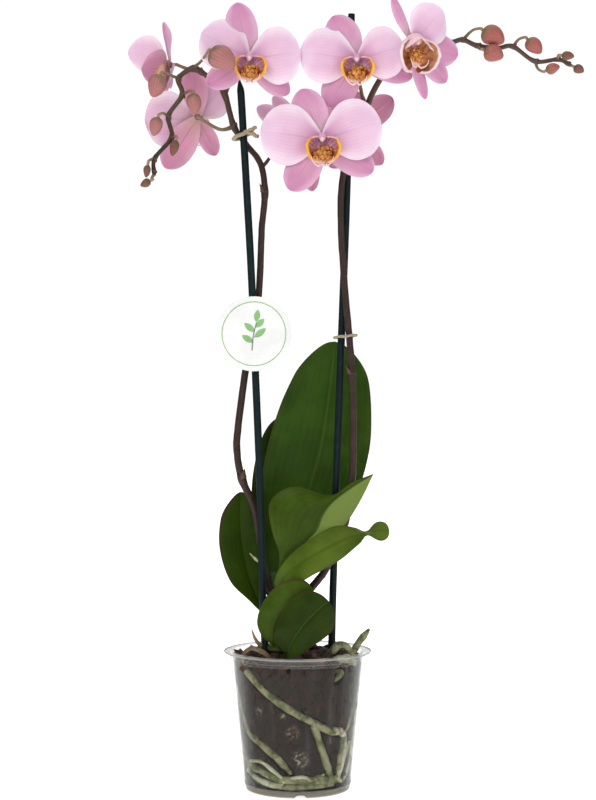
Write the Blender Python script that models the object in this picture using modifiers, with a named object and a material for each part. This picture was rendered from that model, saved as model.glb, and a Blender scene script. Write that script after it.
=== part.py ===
"""Potted moth orchid: a clear grower's pot of bark, seven leaves and two flower spikes tied to stakes.

Scene units are metres and +Z is up. The origin is the middle of the underside of the pot, and the
front of the plant is -Y. Lengths below are millimetres, turned to metres where a mesh is made.
"""

import math

import bmesh
import bpy
import numpy as np
from mathutils import Matrix, Vector

MM = 0.001
CLEAR = 0.3  # gap left between pieces that touch

# Pot
POT_H = 112.0
RIM_R = 60.0
MOUTH_R = 54.0  # outside of the wall just under the rim
FOOT_R = 43.0  # outside of the wall at the floor
WALL = 1.0
FLOOR_Z = 4.0  # recessed part of the floor
POT_SIDES = 28

# Planting
BARK_TOP = 100.0
ROOT_R = 3.3
CHIPS = 11
STAKE_R = 3.0
LEAF_T = 1.5
TEPAL_T = 0.8
HUB = 3.3  # half the depth of a bloom's hub


def clear_scene():
    """Empty the scene and make the collection that holds the plant."""
    for obj in list(bpy.data.objects):
        bpy.data.objects.remove(obj, do_unlink=True)
    collection = bpy.data.collections.new("potted_orchid")
    bpy.context.scene.collection.children.link(collection)
    return collection


PARTS = clear_scene()


def material(name, rgb, rough=0.5, see_through=0.0):
    """A Principled material; rgb is the linear colour."""
    mat = bpy.data.materials.new(name)
    mat.use_nodes = True
    shader = mat.node_tree.nodes["Principled BSDF"]
    shader.inputs["Base Color"].default_value = (*rgb, 1.0)
    shader.inputs["Roughness"].default_value = rough
    shader.inputs["Transmission Weight"].default_value = see_through
    mat.diffuse_color = (*rgb, 1.0)
    return mat


CLEAR_PLASTIC = material("clear_polypropylene", (0.78, 0.79, 0.78), 0.25, 0.8)
BARK = material("fir_bark", (0.045, 0.026, 0.017), 0.9)
ROOT = material("orchid_root", (0.36, 0.40, 0.25), 0.7)
STEM = material("leafy_stem", (0.08, 0.13, 0.03), 0.5)
LEAF = material("orchid_leaf", (0.055, 0.13, 0.014), 0.4)
SPIKE = material("flower_spike", (0.045, 0.025, 0.022), 0.5)
PETAL = material("pink_petal", (0.80, 0.50, 0.74), 0.5)
LIP = material("orange_lip", (0.72, 0.26, 0.02), 0.45)
BUD = material("rose_brown_bud", (0.38, 0.17, 0.13), 0.5)
STAKE = material("dark_green_stake", (0.010, 0.024, 0.026), 0.35)
TIE = material("beige_tie", (0.55, 0.46, 0.28), 0.6)
LABEL = material("white_label", (0.90, 0.90, 0.87), 0.5)


def vec(*values):
    return np.array(values, float)


def unit(v):
    return v / max(float(np.linalg.norm(v)), 1e-9)


def smooth_line(points, count):
    """Catmull-Rom curve through the points, as count evenly spaced points in the curve's parameter."""
    p = np.array(points, float)
    p = np.vstack([2 * p[0] - p[1], p, 2 * p[-1] - p[-2]])
    out = []
    for u in np.linspace(0, len(points) - 1, count):
        i = min(int(u), len(points) - 2)
        f = u - i
        a, b, c, d = p[i : i + 4]
        bend, turn = 2 * a - 5 * b + 4 * c - d, 3 * b - a - 3 * c + d
        out.append(0.5 * (2 * b + (c - a) * f + bend * f**2 + turn * f**3))
    return np.array(out)


def link(name, mesh, mat):
    """Put a mesh in the plant's collection as a named object with its material."""
    mesh.name = name
    obj = bpy.data.objects.new(name, mesh)
    obj.data.materials.clear()
    obj.data.materials.append(mat)
    PARTS.objects.link(obj)
    return obj


def bake(obj):
    """Apply all modifiers, so that the object's mesh is what it evaluates to."""
    bpy.context.view_layer.update()
    graph = bpy.context.evaluated_depsgraph_get()
    mesh = bpy.data.meshes.new_from_object(obj.evaluated_get(graph))
    old = obj.data
    obj.modifiers.clear()
    obj.data = mesh
    mesh.name = obj.name
    bpy.data.meshes.remove(old)
    return obj


def weld(obj, distance=1e-6):
    """Merge doubled points and drop faces of no area."""
    bm = bmesh.new()
    bm.from_mesh(obj.data)
    bmesh.ops.remove_doubles(bm, verts=bm.verts[:], dist=distance)
    bmesh.ops.dissolve_degenerate(bm, dist=distance, edges=bm.edges[:])
    bm.to_mesh(obj.data)
    bm.free()
    return obj


def combine(obj, others, operation):
    """One Boolean of the object with all the others, which are then removed."""
    helpers = bpy.data.collections.new(obj.name + "_others")
    bpy.context.scene.collection.children.link(helpers)
    for other in others:
        for home in list(other.users_collection):
            home.objects.unlink(other)
        helpers.objects.link(other)
    boolean = obj.modifiers.new("Boolean", "BOOLEAN")
    boolean.operation = operation
    boolean.operand_type = "COLLECTION"
    boolean.collection = helpers
    boolean.solver = "EXACT"
    bake(obj)
    for other in others:
        bpy.data.objects.remove(other, do_unlink=True)
    bpy.data.collections.remove(helpers)
    return weld(obj)


def fuse(obj, others):
    return combine(obj, others, "UNION")


def cut(obj, cutters):
    return combine(obj, cutters, "DIFFERENCE")


def tube(name, points, radii, mat, sides=6):
    """A round stem along points with a radius at each, closed at both ends, made by a curve's bevel."""
    curve = bpy.data.curves.new(name, "CURVE")
    curve.dimensions = "3D"
    curve.bevel_depth = MM
    curve.bevel_resolution = sides // 2 - 2
    curve.use_fill_caps = True
    spline = curve.splines.new("POLY")
    spline.points.add(len(points) - 1)
    for point, place, radius in zip(spline.points, points, radii):
        point.co = (*(np.array(place, float) * MM), 1.0)
        point.radius = float(radius)
    drawn = bpy.data.objects.new(name + "_curve", curve)
    bpy.context.scene.collection.objects.link(drawn)
    bpy.context.view_layer.update()
    graph = bpy.context.evaluated_depsgraph_get()
    mesh = bpy.data.meshes.new_from_object(drawn.evaluated_get(graph))
    bpy.data.objects.remove(drawn, do_unlink=True)
    bpy.data.curves.remove(curve)
    bm = bmesh.new()
    bm.from_mesh(mesh)
    bmesh.ops.remove_doubles(bm, verts=bm.verts[:], dist=1e-7)
    bmesh.ops.recalc_face_normals(bm, faces=bm.faces[:])
    bm.to_mesh(mesh)
    bm.free()
    mesh.shade_smooth()
    return link(name, mesh, mat)


def shaft(name, points, radius, mat, sides=6, count=None, tip=1.0):
    """A tube of one radius through smoothed points; tip narrows its last end."""
    line = smooth_line(points, count or 3 * len(points))
    radii = [radius] * len(line)
    if tip < 1:
        radii[-2:] = [radius * (1 + tip) / 2, radius * tip]
    return tube(name, line, radii, mat, sides)


def ball(name, centre, size, mat, turn=None, around=8, rings=6):
    """An ellipsoid with half sizes size, turned by a 3 x 3 matrix."""
    bm = bmesh.new()
    bmesh.ops.create_uvsphere(bm, u_segments=around, v_segments=rings, radius=1.0)
    turned = Matrix.Identity(3) if turn is None else Matrix(turn.tolist())
    for v in bm.verts:
        v.co = (turned @ Vector(a * b for a, b in zip(v.co, size)) + Vector(centre)) * MM
    mesh = bpy.data.meshes.new(name)
    bm.to_mesh(mesh)
    bm.free()
    mesh.shade_smooth()
    return link(name, mesh, mat)


def blade(name, shape, rows, cols, thick, mat):
    """A thin closed blade: a grid moved onto shape(t, s), split into triangles, then given thickness.

    t runs 0 to 1 from base to tip and s runs -1 to 1 across.
    """
    bm = bmesh.new()
    bmesh.ops.create_grid(bm, x_segments=rows, y_segments=cols, size=1.0)
    for v in bm.verts:
        v.co = Vector(shape((v.co.x + 1) / 2, v.co.y)) * MM
    bmesh.ops.triangulate(bm, faces=bm.faces[:])
    mesh = bpy.data.meshes.new(name)
    bm.to_mesh(mesh)
    bm.free()
    obj = link(name, mesh, mat)
    solid = obj.modifiers.new("Thickness", "SOLIDIFY")
    solid.thickness = thick * MM
    solid.offset = 0.0
    bake(obj)
    obj.data.shade_smooth()
    return obj


def lathe(name, profile, mat, sides=POT_SIDES):
    """A body of revolution about Z from a closed profile of (radius, height), outer side first and down."""
    mesh = bpy.data.meshes.new(name)
    count = len(profile)
    mesh.from_pydata([(r * MM, 0, z * MM) for r, z in profile], [(i, i + 1) for i in range(count - 1)], [])
    obj = link(name, mesh, mat)
    screw = obj.modifiers.new("Revolve", "SCREW")
    screw.steps = screw.render_steps = sides
    screw.use_merge_vertices = True
    screw.merge_threshold = 1e-5
    bake(obj)
    return weld(obj)


def pot_radius(z):
    """Outside radius of the pot's wall at height z."""
    return FOOT_R + (MOUTH_R - FOOT_R) * max(0.0, min(1.0, z / POT_H))


def fill_radius(z):
    """Radius of the bark at height z, clear of the wall."""
    return pot_radius(z) - WALL - CLEAR


def build_pot():
    """Thin-walled pot: flat rim, two steps under it, foot ring with notches, floor with holes."""
    r = pot_radius
    profile = [
        (MOUTH_R - WALL, POT_H - 0.6),
        (MOUTH_R - 0.2, POT_H),
        (RIM_R - 0.5, POT_H),
        (RIM_R, POT_H - 1.5),
        (MOUTH_R + 1.7, POT_H - 2.0),
        (MOUTH_R + 1.5, POT_H - 3.6),
        (MOUTH_R + 0.7, POT_H - 4.4),
        (r(POT_H - 8), POT_H - 8.2),
        (r(6), 6),
        (FOOT_R - 1.2, 0.0),
        (FOOT_R - 4.0, 0.0),
        (FOOT_R - 5.5, FLOOR_Z - 1.2),
        (24.0, FLOOR_Z - 1.2),
        (22.0, 0.0),
        (0.0, 0.0),
    ]
    inner = [
        (0.0, 1.2),
        (21.4, 1.2),
        (23.4, FLOOR_Z),
        (r(6) - WALL - 1.5, FLOOR_Z),
        (r(8) - WALL, FLOOR_Z + 2.5),
        (MOUTH_R - WALL, POT_H - 0.6),
    ]
    pot = lathe("pot", profile + inner, CLEAR_PLASTIC)
    cutters = []
    for k in range(4):
        notch = ball(f"notch_{k}", (0, 0, 0), (1, 1, 1), CLEAR_PLASTIC, around=8, rings=4)
        a = math.radians(-90 + 3 + 90 * k)
        for v in notch.data.vertices:
            x, y, z = (c / MM for c in v.co)
            x, y, z = FOOT_R - 2.5 + 4.5 * x, 4.2 * y, 3.2 * z - 0.3
            v.co = (
                (x * math.cos(a) - y * math.sin(a)) * MM,
                (x * math.sin(a) + y * math.cos(a)) * MM,
                z * MM,
            )
        cutters.append(notch)
    for k in range(6):
        a = math.radians(30 + 60 * k)
        place = (30.5 * math.cos(a), 30.5 * math.sin(a))
        cutters.append(
            tube(f"drain_{k}", [(*place, FLOOR_Z - 4), (*place, FLOOR_Z + 3)], [3.5, 3.5], CLEAR_PLASTIC, 6)
        )
    cut(pot, cutters)
    pot.data.shade_smooth()
    pot.data.set_sharp_from_angle(angle=math.radians(30))
    return pot


# Guide lines of the planting, in millimetres.
STAKE_LEFT = [(-26, -16, 30), (-26, -16, 106), (-28, -16, 154), (-30.5, -16, 250), (-34, -15.5, 339)]
STAKE_LEFT += [(-37, -15, 411), (-40.5, -15, 476), (-45, -15, 552)]
STAKE_RIGHT = [(26, -2, 30), (27.5, -2, 104), (28.5, -2, 152), (31.5, -2, 250), (35.5, -2, 363)]
STAKE_RIGHT += [(40, -2, 485), (43.8, -2, 628.5)]
STEM_LINE = [(-11, 1, 102.4), (-13, 1, 125), (-17, 1, 148), (-20, 1, 172)]
STEM_RADII = [8.0, 7.6, 7.0, 5.2]


def wall_line(points, depth):
    """Points (angle in degrees from the front, height) put at a depth inside the bark's side."""
    out = []
    for angle, z in points:
        r = fill_radius(z) - depth
        a = math.radians(angle)
        out.append((r * math.sin(a), -r * math.cos(a), z))
    return out


# Each root: points inside the mix on its way from the stem, then (angle, height) along the wall.
ROOTS = {
    "long": ([(-12, -4, 94), (-20, -25.5, 97)],
             [(-58, 96), (-46, 83), (-31, 72), (-14, 61), (2, 53), (16, 48), (36, 41)]),
    "branch": ([], [(19, 48), (25, 33), (31, 20), (36, 11)]),
    "left": ([(-13, 0, 92), (-32, -7, 86)],
             [(-76, 76), (-72, 58), (-60, 42), (-40, 30), (-14, 20), (-4, 12)]),
    "low": ([(-14, 2, 86), (-27, -3, 45)],
            [(-66, 26), (-48, 13), (-28, 10), (2, 10), (30, 11), (52, 14)]),
    "right": ([(-8, 0, 88), (20, -8, 66)], [(74, 52), (72, 38), (60, 24), (50, 15)]),
    "tip": ([(-8, -2, 94), (16, -22, 95)], [(44, 99), (39, 93)]),
}
ARCH = [(-8, -4, 95), (14, -24, 103), (27, -28, 114), (33, -28.5, 119.5), (39, -26.5, 118), (42.5, -22, 109)]
ARCH += [(38, -17, 98)]
RISING = [(-8, -2, 93), (22, -14, 97), (36, -17, 104), (43.5, -18, 111), (49.5, -18.5, 121)]
RISING += [(57, -19, 130.5)]
DRIED = [(-14, -6, 96), (-19, -25, 105), (-27, -31.5, 114), (-37, -32, 117.5), (-43, -25, 111)]
DRIED += [(-42, -19, 99)]
FREE_ROOTS = {"arch": (ARCH, 3.0, 0.6), "rising": (RISING, 2.6, 0.5), "dried": (DRIED, 1.8, 0.6)}


def root_lines():
    """Name, guide line and radius of every root."""
    out = []
    for name, (inside, wall) in ROOTS.items():
        radius = ROOT_R * (0.85 if name in ("right", "tip") else 1.0)
        out.append((name, inside, wall, radius))
    return out


def build_roots():
    """All the roots, joined at the root crown under the stem."""
    crown = ball("roots", (-12, 0, 93), (9, 9, 9), ROOT, around=8, rings=5)
    pieces = []
    for name, inside, wall, radius in root_lines():
        line = inside + wall_line(wall, radius + 0.5)
        pieces.append(shaft("root_" + name, line, radius, ROOT, 6, len(line), tip=0.5))
    for name, (line, radius, tip) in FREE_ROOTS.items():
        pieces.append(shaft("root_" + name, line, radius, ROOT, 6, 9, tip=tip))
    return fuse(crown, pieces)


def root_channels():
    """Cutters that open the bark round each root, wide at the wall so that the root shows."""
    out = []
    for name, inside, wall, radius in root_lines():
        line = inside + wall_line(wall, radius - 0.3)
        end = vec(*line[-1])
        line[-1] = tuple(end + unit(end - vec(*line[-2])) * 1.2)
        out.append(shaft("channel_" + name, line, radius + 1.9, BARK, 6, len(line)))
    for name, (guide, radius, _) in FREE_ROOTS.items():
        line = smooth_line(guide, 9)
        line[-1] += unit(line[-1] - line[-2]) * 1.0
        out.append(tube("channel_" + name, line, [(radius + CLEAR + 0.1) / 0.866] * 9, BARK, 6))
    out.append(ball("channel_crown", (-12, 0, 93), (10.3, 10.3, 10.3), BARK, around=8, rings=5))
    return out


def build_bark():
    """Bark mix: a body that fills the pot, chips lying on top, holes for stem, stakes and roots."""
    top = BARK_TOP
    profile = [
        (0.0, top + 3),
        (16.0, top + 2),
        (32.0, top + 1),
        (fill_radius(top) - 3.0, top),
        (fill_radius(top), top - 3.0),
        (fill_radius(12), 12),
        (fill_radius(8) - 3.0, FLOOR_Z + CLEAR + 0.5),
        (23.0, FLOOR_Z + CLEAR + 0.3),
        (21.0, 1.2 + CLEAR),
        (0.0, 1.2 + CLEAR),
    ]
    bark = lathe("bark", profile, BARK)
    rng = np.random.default_rng(7)
    chips = []
    for k in range(CHIPS):
        golden = k * 2.399963
        reach = 37.0 * math.sqrt((k + 0.5) / CHIPS)
        size = rng.uniform((6.5, 4.0, 2.6), (10.0, 6.0, 4.0))
        bm = bmesh.new()
        bmesh.ops.create_cube(bm, size=2.0)
        turn = Matrix.Rotation(golden * 1.7, 3, "Z") @ Matrix.Rotation(rng.uniform(-0.5, 0.5), 3, "X")
        turn = turn @ Matrix.Rotation(rng.uniform(-0.4, 0.4), 3, "Y")
        place = Vector((reach * math.cos(golden), reach * math.sin(golden), top + rng.uniform(0.3, 2.2)))
        for v in bm.verts:
            nudge = Vector(rng.uniform(-0.18, 0.18, 3))
            v.co = (turn @ Vector((c + n) * h for c, n, h in zip(v.co, nudge, size)) + place) * MM
        mesh = bpy.data.meshes.new(f"chip_{k}")
        bm.to_mesh(mesh)
        bm.free()
        chips.append(link(f"chip_{k}", mesh, BARK))
    fuse(bark, chips)
    holes = root_channels()
    holes.append(tube("hole_left", [(-26, -16, 29), (-26, -16, 150)], [STAKE_R + 0.5] * 2, BARK, 10))
    right = [(26, -2, 29), (27.5, -2, 104), (28.2, -2, 140)]
    holes.append(tube("hole_right", right, [STAKE_R + 0.5] * 3, BARK, 10))
    stem = smooth_line(STEM_LINE, 6)
    holes.append(tube("hole_stem", [(-11, 1, 96), *stem[:4]], [8.8] * 5, BARK, 10))
    cut(bark, holes)
    return bark


def build_stem():
    """The short stem, hidden by the leaf bases, from which leaves and spikes come."""
    line = smooth_line(STEM_LINE, 8)
    radii = np.interp(np.linspace(0, 3, 8), range(4), STEM_RADII)
    radii[-1] = 2.5
    return tube("stem", line, radii, STEM, 10)


def width_shape(t, claw, peak, end):
    """Half-width of a leaf or tepal as a share of its most, from base (claw) over its peak to the tip."""
    if t < peak:
        return claw + (1 - claw) * math.sin(0.5 * math.pi * t / peak)
    u = (t - peak) / (1 - peak)
    return end + (1 - end) * math.sqrt(max(0.0, 1 - u**2.2))


def leaf(name, stations, faces, fold=14.0, droop=0.0, rows=10, end=0.2):
    """A strap leaf through stations of (x, y, z, half-width at its left, half-width at its right).

    faces are the ways its upper side looks, fold is its V in degrees, droop bends the margins back
    and end is how blunt the tip is.
    """
    line = smooth_line(stations, 41)
    looks = smooth_line(faces, 41)
    rise = math.tan(math.radians(fold))

    def shape(t, s):
        u = t * 40
        i = min(int(u), 39)
        f = u - i
        here = line[i] * (1 - f) + line[i + 1] * f
        along = unit(line[min(i + 2, 40), :3] - line[max(i - 1, 0), :3])
        side = unit(np.cross(along, looks[i] * (1 - f) + looks[i + 1] * f))
        normal = unit(np.cross(side, along))
        close = max(0.0, (t - 0.86) / 0.14)
        half = here[4 if s > 0 else 3] * math.sqrt(1 - (1 - end**2) * close**2)
        lift = rise * half * (math.sqrt(s * s + 0.03) - 0.173) - droop * half * s * s
        return here[:3] + side * half * s + normal * lift

    return blade(name, shape, rows, 4, LEAF_T, LEAF)


def build_leaves():
    """The seven leaves, from the oldest at the bottom up."""
    front = (0, -1, 0.1)
    leaf(
        "leaf_round_front",
        [(-9, -7.2, 111, 6, 6), (-8.5, -24, 109.5, 7, 7), (-8.5, -38, 112.5, 9, 8), (-5, -43, 123, 15, 13),
         (4, -45, 137, 20, 18.5), (14, -47, 148, 20, 19.5), (24, -48.5, 157, 15, 14)],
        [(0, 0.3, 1), (0, -0.3, 1), (-0.2, -1, 0.7), front, front, front, front],
        fold=6, droop=0.12, end=0.4,
    )
    leaf(
        "leaf_small_front",
        [(-17, -7.15, 119, 5, 5), (-17.3, -20, 117, 4.5, 6), (-18.5, -29, 120, 6.5, 6.5),
         (-16, -34, 135, 17.5, 13), (-7, -38.5, 152, 21, 18), (4, -41, 166, 17, 15)],
        [(0, 0.3, 1), (0, -0.4, 1), (-0.2, -1, 0.5), front, front, front],
        fold=8, droop=0.12, end=0.4,
    )
    leaf(
        "leaf_lower_left",
        [(-23.9, 1, 138, 5, 5), (-31.5, -1, 151, 8, 7), (-39, 3.5, 170, 17, 13),
         (-44.5, 5.5, 195, 20.5, 15.5), (-46.5, 4.5, 218, 18, 13.5), (-46, 3, 240, 9, 8)],
        [(0.7, 0, 0.7), (0.6, -0.7, 0.4), (0.3, -1, 0.1), (0.3, -1, 0), (0.3, -1, 0), (0.3, -1, 0)],
        fold=14, end=0.3,
    )
    leaf(
        "leaf_back_left",
        [(-18, 8.6, 150, 5, 5), (-19, 26, 170, 13, 13), (-17, 36, 205, 20, 20), (-15, 38, 245, 23, 23),
         (-10, 37, 280, 20, 20), (-4, 35, 304, 10, 10)],
        [(0, -1, 1), front, front, front, front, front],
        fold=10,
    )
    leaf(
        "leaf_big_back",
        [(-20.5, 8.4, 161, 5, 5), (-15, 17, 180, 18, 18), (-2, 21, 210, 33, 32), (9, 22.5, 240, 40.5, 38),
         (19, 23, 275, 43, 39.5), (24, 23, 305, 39, 37), (28, 22, 335, 30, 30.5), (30.5, 20, 363, 18, 19)],
        [(0.1, -1, 0.6)] + [(0.05, -1, 0)] * 7,
        fold=9, rows=12, end=0.15,
    )
    leaf(
        "leaf_folded",
        [(-15.5, -4.6, 165, 4, 4), (-12.5, -12, 176.5, 8, 5), (-4, -16, 189, 20, 6), (7, -17, 201, 35, 7),
         (17, -18, 212.5, 43, 9), (24.5, -19, 224, 33, 13), (33, -19.5, 236, 9, 14), (47, -20, 247, 4, 9),
         (60.5, -20, 255.5, 3, 4)],
        [(0.1, -1, 0.4), (0, -1, 0.5), (0, -1, 0.15), (0, -1, 0), (0, -1, 0), (-0.15, -1, 0),
         (-0.3, -1, 0.1), (-0.3, -1, 0.2), (-0.3, -1, 0.2)],
        fold=10, rows=14, end=0.5,
    )
    leaf(
        "leaf_arching",
        [(-17.5, -6.5, 150, 5, 5), (-15, -20, 160, 7, 8), (-9, -27, 176, 11, 13), (4, -31, 187.5, 16, 16),
         (18, -34, 195.5, 17, 17), (34, -35, 203.5, 16, 15.5), (47, -35, 207.5, 12, 12),
         (55, -35, 209.5, 9, 9), (64, -35, 211, 9, 9.5), (72.5, -34, 211.5, 8, 8)],
        [(0.2, -0.6, 1), (-0.2, -0.9, 0.8), (-0.3, -1, 0.6), (-0.4, -1, 0.6), (-0.3, -1, 0.7),
         (-0.2, -1, 0.9), (0, -0.55, 1), (0, -0.1, 1), (-0.1, -0.8, 0.7), (-0.1, -1, 0.3)],
        fold=8, droop=0.12, rows=15, end=0.5,
    )


def facing(azimuth, elevation, roll):
    """Axes of a bloom as columns right, up, front; azimuth 0 looks at -Y and turns toward +X."""
    a, e, r = (math.radians(x) for x in (azimuth, elevation, roll))
    n = vec(math.sin(a) * math.cos(e), -math.cos(a) * math.cos(e), math.sin(e))
    right = vec(math.cos(a), math.sin(a), 0.0)
    up = np.cross(n, right)
    r0, u0 = right * math.cos(r) + up * math.sin(r), up * math.cos(r) - right * math.sin(r)
    return np.column_stack([r0, u0, n])


# Tepals as seen from the front of the bloom: angle from its right, length, half-width, how far the
# tip leans to the front in degrees, cup of the margins (share of half-width), step in front of the hub.
SEPAL = {"claw": 0.3, "peak": 0.55, "end": 0.22}
WING = {"claw": 0.2, "peak": 0.52, "end": 0.34}
TEPALS = {
    "dorsal": (100, 43, 12.5, 5, -0.10, -1.2, SEPAL),
    "left_sepal": (232, 42, 11.5, 3, -0.12, -1.0, SEPAL),
    "right_sepal": (318, 42, 11.5, 3, -0.12, -2.2, SEPAL),
    "left_petal": (167, 45, 23.0, 8, -0.04, 1.5, WING),
    "right_petal": (13, 45, 23.0, 8, -0.04, 1.9, WING),
}


def tepal(name, centre, axes, angle, length, half, lean, cup, step, form, rows, cols):
    """One sepal or petal as a blade that grows out of the hub."""
    a = math.radians(angle)
    out = vec(math.cos(a), math.sin(a), 0.0)
    across = vec(-math.sin(a), math.cos(a), 0.0)
    front = vec(0.0, 0.0, 1.0)
    lean = math.radians(lean)
    start = 1.2

    def shape(t, s):
        reach = start + (length - start) * t
        bend = math.sin(lean) * reach * (0.25 + 0.75 * t) + step * (1 - 0.3 * t)
        wide = half * width_shape(t, form["claw"], form["peak"], form["end"])
        flat = out * reach * math.cos(lean * (0.25 + 0.75 * t)) + across * wide * s
        wave = 0.03 * half * math.sin(7 * t + 2.6 * s + a) * s * s
        return axes @ (flat + front * (bend + cup * wide * s * s + wave)) + centre

    return blade(name, shape, rows, cols, TEPAL_T, PETAL)


def lip_parts(name, centre, axes, scale):
    """The lip: a fleshy middle, two side lobes standing up round the column and a pointed front lobe."""

    def at(x, y, z):
        return axes @ (vec(x, y, z) * scale) + centre

    tilt = math.radians(38)
    tongue = axes @ np.array(
        [[1, 0, 0], [0, math.cos(tilt), -math.sin(tilt)], [0, math.sin(tilt), math.cos(tilt)]]
    )
    # the tongue's long axis runs down and to the front
    body = ball(f"lip_{name}", at(0, -8.6, 9.4), (3.0 * scale, 2.4 * scale, 5.0 * scale), LIP, tongue, 6, 4)

    def lobe(sign):
        def shape(t, s):
            low = vec(sign * 1.4, -8.6 - 3.2 * s, 9.2 + 2.2 * s)
            a = math.radians(14 - 62 * s)
            high = vec(sign * 13.0 * math.cos(a), -6.0 + 10.5 * math.sin(a), 12.0 + 1.2 * s)
            return at(*(low + (high - low) * t + vec(0.0, 0.0, -2.6) * math.sin(math.pi * t)))

        return blade(f"{name}_lobe", shape, 2, 3, TEPAL_T, LIP)

    def tip(t, s):
        wide = 1.2 + 3.2 * math.sin(math.pi * min(1.0, 0.2 + 0.9 * t)) ** 1.3
        return at(wide * s, -11.0 - 8.0 * t, 11.0 + 3.2 * t - 1.6 * t * t + 0.12 * wide * s * s)

    return fuse(body, [lobe(1), lobe(-1), blade(f"{name}_tip", tip, 3, 2, TEPAL_T, LIP)])


def bloom(name, place, turn, size=1.0, changes=None):
    """One flower: sepals, petals and column as one body and the lip as another."""
    centre, axes = vec(*place), facing(*turn)
    hub = ball(f"bloom_{name}", centre, (5.0 * size, 5.0 * size, HUB * size), PETAL, axes, 8, 4)
    pieces = []
    for part, values in TEPALS.items():
        angle, length, half, lean, cup, step, form = values
        change = (changes or {}).get(part, {})
        angle, length = change.get("angle", angle), change.get("length", length)
        half, lean = change.get("half", half), change.get("lean", lean)
        pieces.append(
            tepal(f"{name}_{part}", centre, axes, angle, length * size, half * size, lean, cup, step, form,
                  5, 4 if "petal" in part else 2)
        )
    column = axes @ (vec(0, 1.2, 6.0) * size) + centre
    column = ball(f"{name}_column", column, (2.5 * size, 2.4 * size, 5.4 * size), PETAL, axes, 6, 5)
    fuse(hub, [*pieces, column])
    lip_parts(name, centre, axes, size)
    return hub


BLOOMS = {
    "a": ((-39, -29, 586), (4, 2, 0), 0.97, {
        "dorsal": {"angle": 98, "length": 47.5, "half": 13},
        "left_petal": {"angle": 153, "length": 43, "half": 21, "lean": 2},
        "right_petal": {"angle": 8, "length": 43, "half": 24},
        "left_sepal": {"angle": 212, "length": 40, "half": 11},
        "right_sepal": {"angle": 320, "length": 43, "half": 10}}),
    "b": ((-82, 9, 546), (190, 4, 0), 1.0, {
        "dorsal": {"angle": 84, "length": 43, "half": 11},
        "left_petal": {"angle": 128, "length": 32, "half": 16},
        "right_petal": {"angle": 356, "length": 43, "half": 23},
        "left_sepal": {"angle": 243, "length": 34, "half": 8},
        "right_sepal": {"angle": 302, "length": 49, "half": 13}}),
    "c": ((-106, 18, 591), (-88, -4, 0), 0.95, {
        "dorsal": {"angle": 92, "length": 36, "lean": 10, "half": 10},
        "left_petal": {"angle": 148, "length": 42, "lean": 46, "half": 19},
        "right_petal": {"angle": 340, "length": 33, "lean": 52, "half": 16},
        "left_sepal": {"angle": 228, "length": 34, "lean": 22},
        "right_sepal": {"angle": 300, "length": 23, "lean": 10}}),
    "d": ((19.5, -30, 522), (0, 0, 0), 1.04, {
        "dorsal": {"angle": 107, "length": 42, "half": 13.5},
        "left_petal": {"angle": 172, "length": 48, "half": 23.5},
        "right_petal": {"angle": 17, "length": 47, "half": 23.5},
        "left_sepal": {"angle": 237, "length": 46, "half": 13},
        "right_sepal": {"angle": 328, "length": 46, "half": 12}}),
    "e": ((47.5, -26, 586), (-4, 0, 0), 1.0, {
        "dorsal": {"angle": 110, "length": 40, "half": 15},
        "left_petal": {"angle": 166, "length": 46, "half": 22.5},
        "right_petal": {"angle": 16, "length": 34, "half": 20},
        "left_sepal": {"angle": 246, "length": 42, "half": 14},
        "right_sepal": {"angle": 335, "length": 43, "half": 10, "lean": -6}}),
    "f": ((93, -31, 600), (26, -10, 0), 0.95, {
        "dorsal": {"angle": 114, "length": 43, "lean": 6, "half": 7},
        "left_petal": {"angle": 196, "length": 20, "lean": 8, "half": 14},
        "right_petal": {"angle": 26, "length": 42, "lean": 14, "half": 22},
        "left_sepal": {"angle": 287, "length": 46, "lean": 0, "half": 8},
        "right_sepal": {"angle": 327, "length": 40, "lean": 2, "half": 11}}),
    "g": ((6, 12, 531), (184, 0, 0), 0.9, {
        "dorsal": {"angle": 52, "length": 47, "half": 8},
        "left_petal": {"angle": 118, "length": 38, "half": 18},
        "right_petal": {"angle": 33, "length": 52, "half": 10},
        "left_sepal": {"angle": 262, "length": 50, "half": 9},
        "right_sepal": {"angle": 320, "length": 36}}),
    "h": ((44, 24, 537), (172, 0, 0), 0.95, {
        "dorsal": {"angle": 96, "length": 36, "half": 12},
        "left_petal": {"angle": 140, "length": 47, "half": 13},
        "right_petal": {"angle": 30, "length": 38, "half": 19},
        "left_sepal": {"angle": 226, "length": 40, "half": 9},
        "right_sepal": {"angle": 300, "length": 36}}),
}


def build_blooms():
    for name, (place, turn, size, changes) in BLOOMS.items():
        bloom(name, place, turn, size, changes)


def behind(name, gap):
    """A point on the axis of a bloom, a gap behind the back of its hub."""
    place, turn, size, _ = BLOOMS[name]
    return tuple(vec(*place) - facing(*turn)[:, 2] * (HUB * size + gap))


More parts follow.
